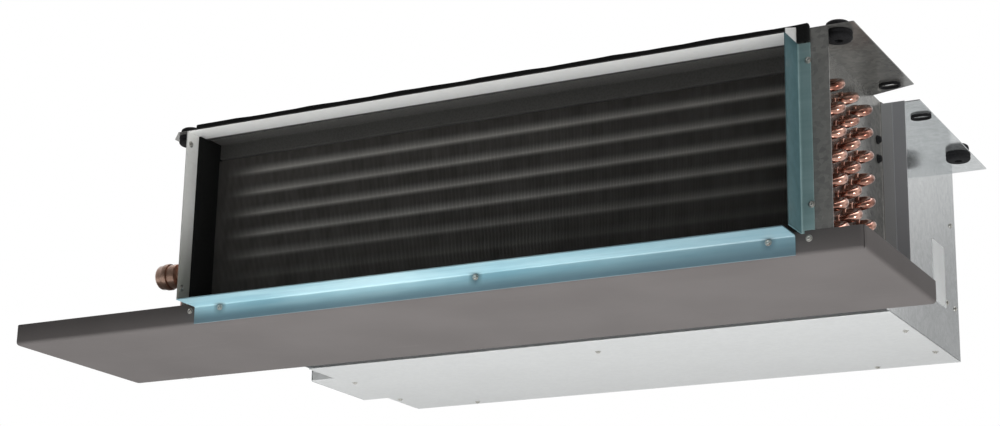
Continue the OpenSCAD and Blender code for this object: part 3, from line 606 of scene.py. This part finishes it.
def makePan():
    p = panTray
    inner, lip, top = p["fold"] - p["sheet"], p["sheet"] / 2, p["height"]
    bend = [(1 - sin(angle), 1 - cos(angle)) for angle in map(radians, range(0, 91, 18))]
    outside = [(p["fold"] * u, p["fold"] * v) for u, v in bend]
    rim = [(0.0, top - lip), (0.3 * lip, top - 0.3 * lip), (lip, top), (1.7 * lip, top - 0.3 * lip),
           (2 * lip, top - lip)]
    inside = [(p["sheet"] + inner * v, p["sheet"] + inner * u) for u, v in bend]
    loops = []
    for inset, height in outside + rim + inside:
        seam = p["seam"] if inset < 0.6 * p["sheet"] and height > p["seamLow"] else p["noSeam"]
        corner = max(p["innerCorner"], p["corner"] - inset)
        loops.append((roundedLoop(p["box"], inset, corner, seam), height))
    shell = bmesh.new()
    addLoft(shell, loops, spot)
    addShell(shell, "drainPan", "panPaint", "drain_pan")


# Outlet collar strips

collar = {
    "reach": -37.0, "lowZ": 20.8, "highZ": 222.2, "flangeLow": 1.0, "flangeHigh": 239.0, "face": -1.2,
    "bottomFace": -1.7, "legX": 364.0, "flangeX": 377.0, "bottomX": 357.0, "fold": 1.8, "step": 2.6,
    "gusset": 5.0, "gussetRear": -4.5, "sideLow": 22.0, "sideFlangeLow": 25.2, "sideHigh": 220.9,
}


def makeCollar():
    c, t, face = collar, unit["sheet"], collar["face"]
    shell = bmesh.new()
    section = [(c["reach"], c["lowZ"]), (c["bottomFace"], c["lowZ"]), (c["bottomFace"], c["flangeLow"])]
    addSheet(shell, section, t, alongX, (-c["legX"], c["bottomX"]), c["fold"])
    addShell(shell, "collarBottom", "blueFilm", "collar_bottom")

    shell = bmesh.new()
    step = c["highZ"] + c["step"]

    def topSpan(point):
        half = c["flangeX"] if point.y > step else c["legX"]
        return -half, half

    addSheet(shell, [(c["reach"], c["highZ"]), (face, c["highZ"]), (face, step), (face, step + 0.05),
                     (face, c["flangeHigh"])], -t, alongX, topSpan, c["fold"])
    gussetFront, gussetLow = c["reach"] + 0.3, c["highZ"] - 0.4
    gusset = [(gussetFront, gussetLow), (gussetFront, c["highZ"] + c["gusset"] - t),
              (c["gussetRear"], c["flangeHigh"] - t), (c["gussetRear"], gussetLow)]
    addPlate(shell, gusset, [], c["legX"] - t, c["legX"] - 0.02, alongX)
    addShell(shell, "collarTop", "paleStrip", "collar_top")

    def sideSpan(point):
        return (c["sideFlangeLow"] if abs(point.x) > c["legX"] + 2.5 else c["sideLow"]), c["sideHigh"]

    for side, name, finish, slot in ((1, "Right", "tealFilm", "blue_strip"),
                                     (-1, "Left", "leftStrip", "pale_strip")):
        shell = bmesh.new()
        leg = c["legX"]
        section = [(leg, c["reach"]), (leg, face), (leg + 2.4, face), (leg + 2.6, face),
                   (c["flangeX"], face)]
        addSheet(shell, [(side * x, y) for x, y in section], side * t, spot, sideSpan, c["fold"])
        addShell(shell, "collar" + name, finish, "collar_" + name.lower())


# Folded end plates with hanger ears

coilEnd = {
    "low": 25.0, "flangeTop": 235.6, "rearTop": 233.0, "rearX": 386.0, "fold": 1.8, "earReach": 51.0,
    "earRear": 200.0, "earRoot": 215.0, "slotY": 188.0, "hangerY": 20.0,
    "frontX": {"Right": 396.0, "Left": 384.0}, "cut": {"Right": 1.0, "Left": 18.0},
}
fanSide = {
    "low": 1.2, "frontX": 400.0, "frontTop": 234.0, "earFront": 251.0, "earX": 414.0,
    "slotY": 302.0, "hangerY": 450.0, "fold": 1.8,
}
earHoles = {
    "x": 400.0, "slotLength": 20.0, "slotWidth": 12.0, "edgeWall": 1.8, "edgeDepth": 3.2, "hanger": 9.0,
}
flangeRoot = {"start": 4.0, "next": 4.1, "earOverlap": 0.1}


def addEar(shell, shadeEdging, outline, end, place):    # a flat ear with its slot and hanger hole
    h = earHoles
    holes = [slotLoop(h["x"], end["slotY"], h["slotLength"], h["slotWidth"]),
             circleLoop(h["x"], end["hangerY"], h["hanger"])]
    addPlate(shell, outline, holes, unit["earUnder"], unit["earTop"], place)
    addRim(shadeEdging, h["x"], end["slotY"], place)


def makeEnds():
    t, inner, wide = unit["sheet"], unit["innerX"], unit["halfWidth"]
    rear, front, back = unit["coilDepth"], unit["fanFront"], unit["fanRear"]
    e, f = coilEnd, fanSide
    webTop = unit["earUnder"] + flangeRoot["earOverlap"]
    root = wide + flangeRoot["next"]

    def coilSpan(point):
        if point.x < wide + flangeRoot["start"]:
            return e["low"], webTop
        return e["low"], (e["rearTop"] if point.y > rear / 2 else e["flangeTop"])

    def fanSpan(point):
        return f["low"], (webTop if point.x < wide + flangeRoot["start"] else f["frontTop"])

    shadeEdging = bmesh.new()
    for side, word in ((1, "Right"), (-1, "Left")):
        def mirrored(u, v, w, side=side):
            return spot(side * u, v, w)

        shell = bmesh.new()
        addSheet(shell, [(e["frontX"][word], t), (root, t), (wide, t), (wide, rear - t), (root, rear - t),
                         (e["rearX"], rear - t)], t, mirrored, coilSpan, e["fold"])
        far, cut = wide + e["earReach"], e["cut"][word]
        outline = [(inner, 0), (far - cut, 0), (far, cut), (far, e["earRear"]), (wide, e["earRoot"]),
                   (wide, rear), (inner, rear)]
        addEar(shell, shadeEdging, outline, e, mirrored)
        addShell(shell, "coilEnd" + word, "coilZinc", "coil_end_" + word.lower())

        shell = bmesh.new()
        addSheet(shell, [(f["frontX"], front + t), (root, front + t), (wide, front + t), (wide, back)],
                 t, mirrored, fanSpan, f["fold"])
        outline = [(inner, front), (wide, front), (wide, f["earFront"]), (f["earX"], f["earFront"]),
                   (f["earX"], back), (inner, back)]
        addEar(shell, shadeEdging, outline, f, mirrored)
        addShell(shell, "fanSide" + word, "fanZinc", "fan_side_" + word.lower())
    # the black rubber edging stands in for the shade seen in the ear slots
    addPiece("slotEdging", plainMesh(shadeEdging, "slotEdging"), "blackRubber", [])


# Bottom panel of the fan section, with a joggle along its rear edge

bottomPanel = {"front": 251.0, "rear": 523.0, "joggle": 515.0, "step": 0.4, "sheet": 0.8, "halfWidth": 372.0}


def makeBottom():
    b = bottomPanel
    shell = bmesh.new()
    section = [(b["rear"], b["step"]), (b["joggle"] + 1.2, b["step"]), (b["joggle"], 0.0),
               (b["front"] + 0.6, 0.0), (b["front"], 0.5)]
    addSheet(shell, section, -b["sheet"], alongX, (-b["halfWidth"], b["halfWidth"]), 0)
    addShell(shell, "fanBottom", "panelZinc", "fan_bottom_panel")


# Electrical box on the left side

wiringBox = {"x0": -408.0, "x1": -372.0, "box": (314.0, 444.0, 0.0, 190.0), "lid": 1.2, "fold": 2.2}


def makeWiringBox():
    w = wiringBox
    outer = w["x0"] - w["lid"]
    boxSteps = [(0.0, w["x1"] - 0.1), (0.0, w["x0"] + 0.8), (0.5, w["x0"] + 0.2), (1.0, w["x0"])]
    lidSteps = [(0.5, w["x0"] - 0.02), (0.0, w["x0"] - 0.25), (0.0, outer + 0.4), (0.12, outer + 0.12),
                (0.4, outer), (9.0, outer), (9.6, outer + 0.35), (10.4, outer + 0.5)]
    for name, steps, finish, node in (("wiringBox", boxSteps, "panelZinc", "electrical_box"),
                                      ("wiringLid", lidSteps, "fanZinc", "electrical_lid")):
        loops = [(roundedLoop(w["box"], inset, w["fold"]), reach) for inset, reach in steps]
        shell = bmesh.new()
        addLoft(shell, loops, alongX)
        addShell(shell, name, finish, node)


# Return bends: one brazed U tube placed on every pair of tube ends

bendTube = {"radius": 4.76, "turn": 12.7, "steps": 14, "sleeve": 5.7, "sleeveLength": 4.0, "lean": 30.0}


def makeBends():
    b, stub = bendTube, coil["stub"]
    path = [Vector((0.0, -b["turn"], 0.0)), Vector((stub, -b["turn"], 0.0))]
    for step in range(1, b["steps"]):
        angle = pi * step / b["steps"]
        path.append(Vector((stub + b["turn"] * sin(angle), -b["turn"] * cos(angle), 0.0)))
    path += [Vector((stub, b["turn"], 0.0)), Vector((0.0, b["turn"], 0.0))]
    shell = bmesh.new()
    addTube(shell, path, b["radius"], Vector((0, 0, 1)), localPlace, 16)
    sleeve = [(0.1, b["sleeve"] - 0.4), (0.5, b["sleeve"]), (b["sleeveLength"] - 0.8, b["sleeve"]),
              (b["sleeveLength"], b["radius"] - 0.2), (0.1, b["radius"] - 0.2)]
    for end in (-1, 1):
        addLathe(shell, sleeve, lambda u, v, w, end=end: localPlace(u, v + end * b["turn"], w), 16, True)
    one = plainMesh(shell, "bendOne")
    lean = radians(b["lean"])    # the rows are staggered by half a pitch
    for side, word, pairs in ((1, "Right", ((0, 1), (2, 3), (4, 5))), (-1, "Left", ((1, 2), (3, 4)))):
        turn = (lean, 0.0, 0.0 if side > 0 else pi)
        places = []
        for first, second in pairs:
            for level in range(coil["levels"]):
                y = (tubeY(first) + tubeY(second)) / 2
                z = (tubeZ(first, level) + tubeZ(second, level)) / 2
                places.append((spot(side * unit["halfWidth"], y, z), turn))
        scatter("bends" + word, one.copy(), places, "copperTube", "bends_" + word.lower())


# Fin pack: one rippled fin repeated along the tubes

finStack = {
    "halfLength": 370.6, "pitch": 1.7, "thick": 0.3, "depth": 131.0, "ripple": 0.9, "sway": 0.35,
    "inset": 0.2,
}


def finTree():
    tree, wires = newTree("finStack", [
        ("Count", "Int"), ("Pitch", "Float"), ("Thick", "Float"), ("Depth", "Float"),
        ("Tube Pitch", "Float"), ("Levels", "Int"), ("Ripple", "Float"), ("Sway", "Float"),
        ("Corner", "Vector"), ("Finish", "Material")])
    start, count, pitch, thick, depth, tubePitch, levels, ripple, sway, corner, finish = wires
    segments = levels * 2 + 1
    size = start.node("CombineXYZ", {"X": thick, "Y": depth, "Z": segments * tubePitch * 0.5})
    plate = start.node("GeometryNodeMeshCube", {
        "Size": size, "Vertices X": 2, "Vertices Y": 2, "Vertices Z": segments + 1}, "Mesh")
    x, y, z = start.node("GeometryNodeInputPosition").parts()
    height = levels * tubePitch
    rise = (z + height * 0.5).most(0.0).least(height)
    wave = ((rise / tubePitch - 0.25) * (2 * pi)).cosine()
    front = y.below(0.0)
    moved = start.node("CombineXYZ", {
        "X": x + wave * front * sway,
        "Y": y + depth * 0.5 + (1 - wave) * front * ripple * 0.5, "Z": rise})
    bent = start.node("GeometryNodeSetPosition", {"Geometry": plate, "Position": moved})
    step = start.node("CombineXYZ", {"X": pitch})
    line = {"Count": count, "Start Location": corner, "Offset": step}
    row = start.node("GeometryNodeMeshLine", line, mode="OFFSET")
    placed = start.node("GeometryNodeInstanceOnPoints", {"Points": row, "Instance": bent})
    endTree(placed, finish)
    return tree


def makeFins():
    f = finStack
    count = int(2 * f["halfLength"] / f["pitch"]) + 1
    begin = -(count - 1) * f["pitch"] / 2
    mesh = runTree("finPack", finTree(), {
        "Count": count, "Pitch": f["pitch"] / 1000, "Thick": f["thick"] / 1000, "Depth": f["depth"] / 1000,
        "Tube Pitch": coil["pitch"] / 1000, "Levels": coil["levels"], "Ripple": f["ripple"] / 1000,
        "Sway": f["sway"] / 1000, "Corner": spot(begin, coil["front"] + f["inset"], coil["base"]),
        "Finish": finishes["finMetal"]})
    addPiece("finPack", mesh, None, ["fin_pack"], angle=20.0)


# Headers and pipe connections on the left

header = {
    "x": -402.0, "radius": 11.0, "cap": 9.0, "dome": 5.0,
    "collar": [(9.4, 6.4), (10.6, 6.9), (11.8, 6.0), (13.0, 4.9), (9.4, 4.7)],
}
socketEnd = {
    "reach": 43.0, "bore": 12.0, "boreDepth": 18.0, "neckBore": 7.5, "root": 9.5, "threads": 6,
    "supplyZ": 73.0, "returnDrop": 26.0,
    "outside": [(9.5, 10.2), (10.6, 10.6), (12.0, 9.0), (15.0, 9.0), (16.0, 12.2), (17.0, 13.8),
                (18.4, 14.2), (25.6, 14.2), (26.2, 13.2), (27.4, 13.2), (28.0, 15.2), (29.0, 15.6),
                (33.4, 15.6), (34.6, 15.1), (36.0, 14.7), (40.6, 14.4), (42.2, 13.6), (43.0, 12.8)],
}


def makeHeaders():
    h, s = header, socketEnd
    reach, wall, depth = s["reach"], s["bore"], s["boreDepth"]
    inside = [(reach, wall + 0.6), (reach - 1.0, wall)]
    for turn in range(s["threads"]):
        along = reach - 1.6 - turn * (depth - 3) / s["threads"]
        inside += [(along, wall), (along - 1.0, wall + 0.7), (along - 2.0, wall)]
    inside += [(reach - depth, wall), (reach - depth - 0.8, s["neckBore"]), (s["root"], s["neckBore"])]
    for word, row, pipeZ in (("supply", 0, s["supplyZ"]), ("return", 5, tubeZ(5, 6) - s["returnDrop"])):
        y = tubeY(row)
        low, high = tubeZ(row, 0) - h["cap"], tubeZ(row, coil["levels"] - 1) + h["cap"]
        lower = [(low + h["dome"] * (1 - sin(angle)), max(h["radius"] * cos(angle), 0.01))
                 for angle in map(radians, range(90, -1, -15))]
        lower.append((low + h["dome"] + 2, h["radius"]))
        upper = [(low + high - z, radius) for z, radius in reversed(lower)]
        shell = bmesh.new()
        addLathe(shell, lower + upper, lambda u, v, w: spot(h["x"] + v, y + w, u), 36)
        for level in range(coil["levels"]):
            z = tubeZ(row, level)
            addLathe(shell, h["collar"], lambda u, v, w: spot(h["x"] + u, y + v, z + w), 20, True)
        addShell(shell, word + "Header", "copperTube", word + "_header", angle=40.0)
        shell = bmesh.new()
        addLathe(shell, s["outside"] + inside, lambda u, v, w: spot(h["x"] - u, y + v, pipeZ + w), 40, True)
        addShell(shell, word + "Connection", "brownBrass", word + "_connection", angle=40.0)


# Rubber hanger grommets, screws and plugs

grommet = {
    "places": [(400.0, 20.0), (-400.0, 20.0), (400.0, 450.0), (-400.0, 450.0)],
    "profile": [(-10.0, 4.5), (-10.0, 10.8), (-9.4, 12.8), (-8.0, 14.1), (-6.4, 14.5), (-5.2, 14.2),
                (-4.6, 13.7), (-4.0, 14.2), (-2.8, 14.5), (-1.2, 14.5), (-0.5, 14.0), (-0.2, 12.6),
                (0.0, 8.8), (1.2, 8.8), (1.4, 12.0), (2.0, 12.8), (4.0, 13.0), (6.6, 12.9), (8.6, 12.2),
                (9.8, 10.6), (10.2, 8.6), (10.2, 4.5)],
}
screw = {
    "washer": [(0.0, 3.6), (0.35, 3.6), (0.6, 3.1)], "hex": [(0.62, 2.35), (1.7, 2.35), (2.0, 1.9)],
    "dip": [(1.92, 1.3), (1.55, 0.9)], "steps": 24,
    "bottom": [(361, 342), (-361, 342), (361, 456), (-361, 456), (274, 509.5), (-274, 509.5), (0, 302)],
    "side": [(503, 164), (475, 62), (509, 62)],
    "stripX": (-329, 0, 329), "stripY": -1.7, "lowZ": 17.0, "lipX": 371.0, "lipY": -0.5,
    "flangeX": 374.6, "flangeY": -1.2, "flangeZ": (202, 51), "cornerX": -362.8, "cornerY": -30.0,
    "cornerZ": (207, 36), "lidX": -409.2, "lidY": 379.0, "lidZ": (6, 184),
}
plug = {
    "y": 226.0, "z": (188.0, 166.0),
    "profile": [(0.0, 4.4), (0.4, 5.0), (1.4, 5.0), (1.9, 4.3), (2.2, 4.1), (3.6, 3.8), (4.6, 2.8),
                (5.0, 1.5), (5.0, 0.01)],
}


def hexShare(angle):    # how far the flats of a hexagon stand in from its corners
    return cos(pi / 6) / cos((angle % (pi / 3)) - pi / 6)


def makeScrews():
    s, wide = screw, unit["halfWidth"]
    shell = bmesh.new()
    rings = []
    for part in ("washer", "hex", "dip"):
        for height, radius in s[part]:
            ring = []
            for angle in turns(s["steps"]):
                reach = radius * (hexShare(angle) if part == "hex" else 1.0)
                ring.append(localPlace(reach * cos(angle), reach * sin(angle), height))
            rings.append([shell.verts.new(point) for point in ring])
    stitch(shell, rings)
    one = plainMesh(shell, "screwOne")
    places = [(spot(x, y, 0.0), facing["down"]) for x, y in s["bottom"]]
    for y, z in s["side"]:
        places.append((spot(wide, y, z), facing["right"]))
        places.append((spot(-wide, y, z), facing["left"]))
    places += [(spot(x, s["stripY"], s["lowZ"]), facing["front"]) for x in s["stripX"]]
    for side in (-1, 1):
        places += [(spot(side * s["flangeX"], s["flangeY"], z), facing["front"]) for z in s["flangeZ"]]
        places.append((spot(side * s["lipX"], s["lipY"], s["lowZ"]), facing["front"]))
    places += [(spot(s["cornerX"], s["cornerY"], z), facing["right"]) for z in s["cornerZ"]]
    places += [(spot(s["lidX"], s["lidY"], z), facing["left"]) for z in s["lidZ"]]
    scatter("casingScrews", one, places, "screwZinc", "casing_screws", 30.0)


def makeRubber():
    grommetSpots = [(spot(x, y, unit["earUnder"]), facing["up"]) for x, y in grommet["places"]]
    plugSpots = [(spot(unit["halfWidth"], plug["y"], z), facing["right"]) for z in plug["z"]]
    for name, profile, steps, closed, places, node in (
            ("hangerGrommets", grommet["profile"], 40, True, grommetSpots, "hanger_grommets"),
            ("endPlugs", plug["profile"], 28, False, plugSpots, "end_plugs")):
        shell = bmesh.new()
        addLathe(shell, profile, lambda u, v, w: localPlace(v, w, u), steps, closed)
        scatter(name, plainMesh(shell, name + "One"), places, "blackRubber", node)


# Bare plate on the right side of the fan section

sidePlate = {
    "box": (422.0, 470.0, 54.0, 128.0), "gap": 0.02, "thick": 0.4, "corner": 2.0, "edge": 0.12,
}


def makeSidePlate():
    p, edge = sidePlate, sidePlate["edge"]
    low, high = unit["halfWidth"] + p["gap"], unit["halfWidth"] + p["thick"]
    steps = [(edge, low), (0.3 * edge, low + 0.3 * edge), (0.0, low + edge),
             (0.0, high - edge), (0.3 * edge, high - 0.3 * edge), (edge, high)]
    loops = [(roundedLoop(p["box"], inset, p["corner"]), reach) for inset, reach in steps]
    shell = bmesh.new()
    addLoft(shell, loops, alongX)
    addShell(shell, "sidePlate", "barePlate", "blank_plate")


# Foam: the gasket in front of the top strip, and the linings inside the coil

foam = {
    "gasketX": 376.8, "gasketBack": -1.25, "gasketThick": 3.0, "gasketLow": 222.3, "gasketHigh": 241.0,
    "gasketWave": 0.35, "edge": 0.9,
    "sideX": (359.8, 362.8, 370.7), "sideY": (-16.0, 1.3, 23.7), "sideZ": (25.6, 220.6),
    "roofX": 370.6, "roofY": (1.3, 24.0, 159.8), "roofZ": (203.9, 221.1, 235.7), "roofRound": 1.2,
    "roofSag": 0.9,
}


def makeGasket():
    f = foam
    back, low = f["gasketBack"], f["gasketLow"]
    stations = [-f["gasketX"], -f["gasketX"] + 0.5, -f["gasketX"] + 1.6]
    stations += list(range(-360, 361, 20)) + [-x for x in reversed(stations)]
    loops = []
    for index, x in enumerate(stations):
        inset = {0: 1.2, 1: 0.5}.get(min(index, len(stations) - 1 - index), 0.0)
        wave = f["gasketWave"] * (sin(x * 0.051) + 0.6 * sin(x * 0.117 + 1.3))
        front = back - f["gasketThick"] + inset - 0.3 * wave
        box = (front, back, low + inset, f["gasketHigh"] + wave - inset)
        loops.append((roundedLoop(box, 0.0, f["edge"]), x))
    shell = bmesh.new()
    addLoft(shell, loops, alongX)
    gasket = addShell(shell, "collarGasket", "blackFoam", "collar_gasket")


def makeLining():
    f = foam
    shell = bmesh.new()
    (nearX, legX, farX), (y0, y1, y2) = f["sideX"], f["sideY"]
    outline = [(nearX, y0), (legX, y0), (legX, y1), (farX, y1), (farX, y2), (nearX, y2)]
    for side in (-1, 1):
        addPlate(shell, [(side * x, y) for x, y in outline], [], f["sideZ"][0], f["sideZ"][1], spot)
    bmesh.ops.dissolve_limit(shell, angle_limit=0.02, verts=shell.verts, edges=shell.edges)
    bmesh.ops.bevel(shell, geom=shell.edges, offset=f["edge"] / 1000, segments=3, profile=0.5,
                    affect="EDGES")
    (y0, y1, y2), (z0, z1, z2) = f["roofY"], f["roofZ"]
    seam = (y2, (z0 + z2) / 2)
    corners = [seam, (y2, z2), (y0, z2), (y0, z1), (y1, z1), (y1, z0), (y2, z0), seam]
    section = roundPath(corners, f["roofRound"], 5)[:-1]
    loops = []
    for step in range(41):
        x = f["roofX"] * (step / 20 - 1)
        lift = f["roofSag"] * (0.5 - 0.3 * cos(x * 0.031) - 0.2 * cos(x * 0.077 + 0.8))
        loops.append(([(y, z + (lift if z < z1 + 4 else 0.0)) for y, z in section], x))
    addLoft(shell, loops, alongX)
    lining = addShell(shell, "foamLining", "liningFoam", "foam_liners", angle=40.0)


# Filter cassette: channel frame and pleated medium

cassette = {
    "halfX": 350.0, "y0": 524.7, "y1": 539.3, "z0": 7.5, "z1": 229.5, "border": 12.0, "pleat": 12.0,
    "pleatDepth": 6.6, "mediumX": 337.9, "mediumZ0": 19.6, "mediumZ1": 217.4, "mediumY": 532.0, "felt": 1.0,
    "flatCloth": (1.02, 0.198),
}


def pleatTree():
    tree, wires = newTree("pleatedMedium", [
        ("Width", "Float"), ("Height", "Float"), ("Pleat", "Float"), ("Depth", "Float"), ("Felt", "Float"),
        ("Middle", "Vector"), ("Finish", "Material")])
    start, width, height, pleat, depth, felt, middle, finish = wires
    ridges = width / pleat * 6 + 1
    flat = start.node("GeometryNodeMeshGrid", {
        "Size X": width, "Size Y": height, "Vertices X": ridges, "Vertices Y": 8}, "Mesh")
    x, y = start.node("GeometryNodeInputPosition").parts()[:2]
    wave = (x * (2 * pi) / pleat).cosine() * (depth * 0.5)
    stood = start.node("CombineXYZ", {"X": x, "Y": wave, "Z": y})
    place = start.node("VectorMath", {0: stood, 1: middle}, operation="ADD")
    sheet = start.node("GeometryNodeSetPosition", {"Geometry": flat, "Position": place})
    back = start.node("GeometryNodeFlipFaces", {0: sheet})
    thick = start.node("GeometryNodeExtrudeMesh", {
        "Mesh": sheet, "Offset Scale": felt, "Individual": False}, "Mesh", mode="FACES")
    whole = start.node("GeometryNodeJoinGeometry", {0: thick})
    start.feed(whole.socket.node.inputs[0], back)
    endTree(whole, finish)
    return tree


def makeCassette():
    c = cassette
    depth, border = c["y1"] - c["y0"], c["border"]
    half = [(0.0, 0.6), (0.6, 0.0), (border - 0.6, 0.0), (border, 0.5), (border, 1.4), (border - 0.8, 1.8),
            (2.0, 2.2)]
    section = half + [(inset, depth - along) for inset, along in reversed(half)]
    loops = []
    for inset, along in section + section[:1]:
        x, low, high = c["halfX"] - inset, c["z0"] + inset, c["z1"] - inset
        loops.append(([(x, high), (-x, high), (-x, low), (x, low)], c["y0"] + along))
    shell = bmesh.new()
    addLoft(shell, loops, alongY, False)
    addShell(shell, "filterFrame", "filterAlloy", "filter_frame", "filter")
    low, high = c["mediumZ0"], c["mediumZ1"]
    mesh = runTree("filterMedium", pleatTree(), {
        "Width": 2 * c["mediumX"] / 1000, "Height": (high - low) / 1000, "Pleat": c["pleat"] / 1000,
        "Depth": c["pleatDepth"] / 1000, "Felt": c["felt"] / 1000,
        "Middle": spot(0.0, c["mediumY"], (low + high) / 2), "Finish": finishes["filterCloth"]})
    shell = bmesh.new()
    shell.from_mesh(mesh)
    medium = addShell(shell, "filterMedium", "filterCloth", "filter_medium", "filter", 50.0)


stages = {
    "drain pan": makePan, "collar": makeCollar, "end plates": makeEnds, "bottom panel": makeBottom,
    "wiring box": makeWiringBox, "return bends": makeBends, "fin pack": makeFins, "headers": makeHeaders,
    "screws": makeScrews, "rubber": makeRubber, "side plate": makeSidePlate, "gasket": makeGasket,
    "lining": makeLining, "filter": makeCassette,
}
for stage, make in stages.items():
    make()
    print("made:", stage)


# CAD nodes that stay, with their finishes

kept = {
    "fanZinc": ["fan_top_panel", "rear_bar", "fan_deck", "scroll_left", "scroll_right",
                "wheel_left", "wheel_right", "filter_rails", "motor_straps"],
    "coilZinc": ["coil_top_panel"],
    "copperTube": ["coil_tubes"],
    "brass": ["vent_body", "purge_body", "vent_screw", "purge_screw"],
    "whitePlastic": ["drain_spigot", "capacitor", "terminal_block"],
    "blackPlastic": ["cable_gland"],
    "motorPaint": ["motor_body", "motor_cradle"],
    "shaftSteel": ["motor_shaft"],
    "blackRubber": ["motor_rings"],
}
for finish, nodes in kept.items():
    for node in nodes:
        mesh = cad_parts[node].data
        mesh.materials.clear()
        mesh.materials.append(finishes[finish])
print("kept CAD nodes dressed:", sum(len(nodes) for nodes in kept.values()))


# Floor, light and camera

studio = {
    "floorZ": -3.4, "floorSize": 60.0, "floorGloss": 0.76, "floorWhite": 0.92, "ambient": 0.16, "clip": 60.0,
}
lamps = {    # place, aim, width, height and power
    "floorGlow": ((-0.2, 0.2, -1.25), (-0.2, 0.2, 0.0), 3.0, 2.4, 5.0),
    "frontLow": ((0.0, -0.45, -1.25), (-0.05, 0.0, -0.12), 2.0, 0.5, 14.5),
    "topSoft": ((0.2, 0.3, 2.4), (0.0, 0.0, 0.0), 3.0, 2.4, 60.0),
    "sideSoft": ((2.4, -0.6, -0.35), (0.0, 0.05, -0.1), 0.5, 0.5, 10.5),
}
view = {
    "lens": 74.9005, "sensor": 36.0, "place": (1.0283, -2.1033, -0.7847), "yaw": 28.19, "roll": 1.15,
    "forward": (-0.4527, 0.8446, 0.2860),
}


def rayShares(start):    # rays from the camera, and rays that are mirrored or let through
    camera, glossy, through = [start.node("LightPath", out="Is " + kind + " Ray")
                               for kind in ("Camera", "Glossy", "Transmission")]
    return camera, glossy.most(through)


def floorFinish(place, dark, light):
    return {"Base Color": noise(place, 1.2).blend(dark, light), "Roughness": 0.9}


def makeFloor():
    finish = makeFinish("paleFloor", floorFinish, (236, 236, 234), (243, 243, 241))
    nodes, start = finish.node_tree.nodes, Wire(finish.node_tree)
    camera, mirrored = rayShares(start)
    seen = (camera * studio["floorWhite"]).most(mirrored * studio["floorGloss"])
    white = start.node("Emission", {"Color": (1, 1, 1, 1), "Strength": 1.0})
    matt = Wire(finish.node_tree, nodes["Principled BSDF"].outputs[0])
    both = start.node("MixShader", {0: seen, 1: matt, 2: white})
    start.feed(nodes["Material Output"].inputs["Surface"], both)
    mesh = bpy.data.meshes.new("floor")
    half, level = studio["floorSize"] / 2, studio["floorZ"]
    corners = [(-half, -half, level), (half, -half, level), (half, half, level), (-half, half, level)]
    mesh.from_pydata(corners, [], [(0, 1, 2, 3)])
    mesh.materials.append(finish)
    floor = addObject("floor", mesh)


def makeLamp(name, place, aim, sizeX, sizeY, power):
    lamp = bpy.data.lights.new(name, "AREA")
    lamp.shape = "RECTANGLE"
    lamp.size, lamp.size_y = sizeX, sizeY
    lamp.energy = power
    holder = addObject(name, lamp)
    holder.location = place
    holder.rotation_euler = (Vector(aim) - Vector(place)).to_track_quat("-Z", "Y").to_euler()
    holder.visible_camera = False


def makeWorld():
    world = bpy.data.worlds.new("studioSky")
    bpy.context.scene.world = world
    world.use_nodes = True
    world.node_tree.nodes.clear()
    start = Wire(world.node_tree)
    camera, mirrored = rayShares(start)
    x, y, z = start.node("TexCoord", out="Generated").parts()
    plain = y.remap(-0.7, 0.5, 0.2, 1.0).most(z.remap(-0.75, -0.1, 1.0, 0.2))
    corner = x.remap(0.0, 0.16) * y.remap(0.3, 0.7) * z.remap(-0.2, 0.0)
    wall = z.remap(0.25, 0.31, 0.42, 0.75)    # dimmer, behind on the right
    seen = plain * (1 - corner) + wall * corner
    soft = mirrored * seen + (1 - mirrored) * studio["ambient"]
    sky = start.node("Background", {"Color": (1, 1, 1, 1), "Strength": camera + (1 - camera) * soft})
    start.node("OutputWorld", {"Surface": sky})


def makeCamera():
    forward = Vector(view["forward"]).normalized()
    yaw, roll = radians(view["yaw"]), radians(view["roll"])
    level = Vector((cos(yaw), sin(yaw), 0.0))
    upright = level.cross(forward)
    right = level * cos(roll) + upright * sin(roll)
    up = upright * cos(roll) - level * sin(roll)
    lens = bpy.data.cameras.new("photoView")
    lens.lens = view["lens"]
    lens.sensor_width = view["sensor"]
    lens.clip_end = studio["clip"]
    camera = addObject("photoView", lens)
    turn = Matrix((right, up, -forward)).transposed().to_4x4()
    camera.matrix_world = Matrix.Translation(Vector(view["place"])) @ turn
    bpy.context.scene.camera = camera


makeFloor()
for name, settings in lamps.items():
    makeLamp(name, *settings)
makeWorld()
makeCamera()
bpy.context.scene.view_settings.view_transform = "Standard"
print("studio made")
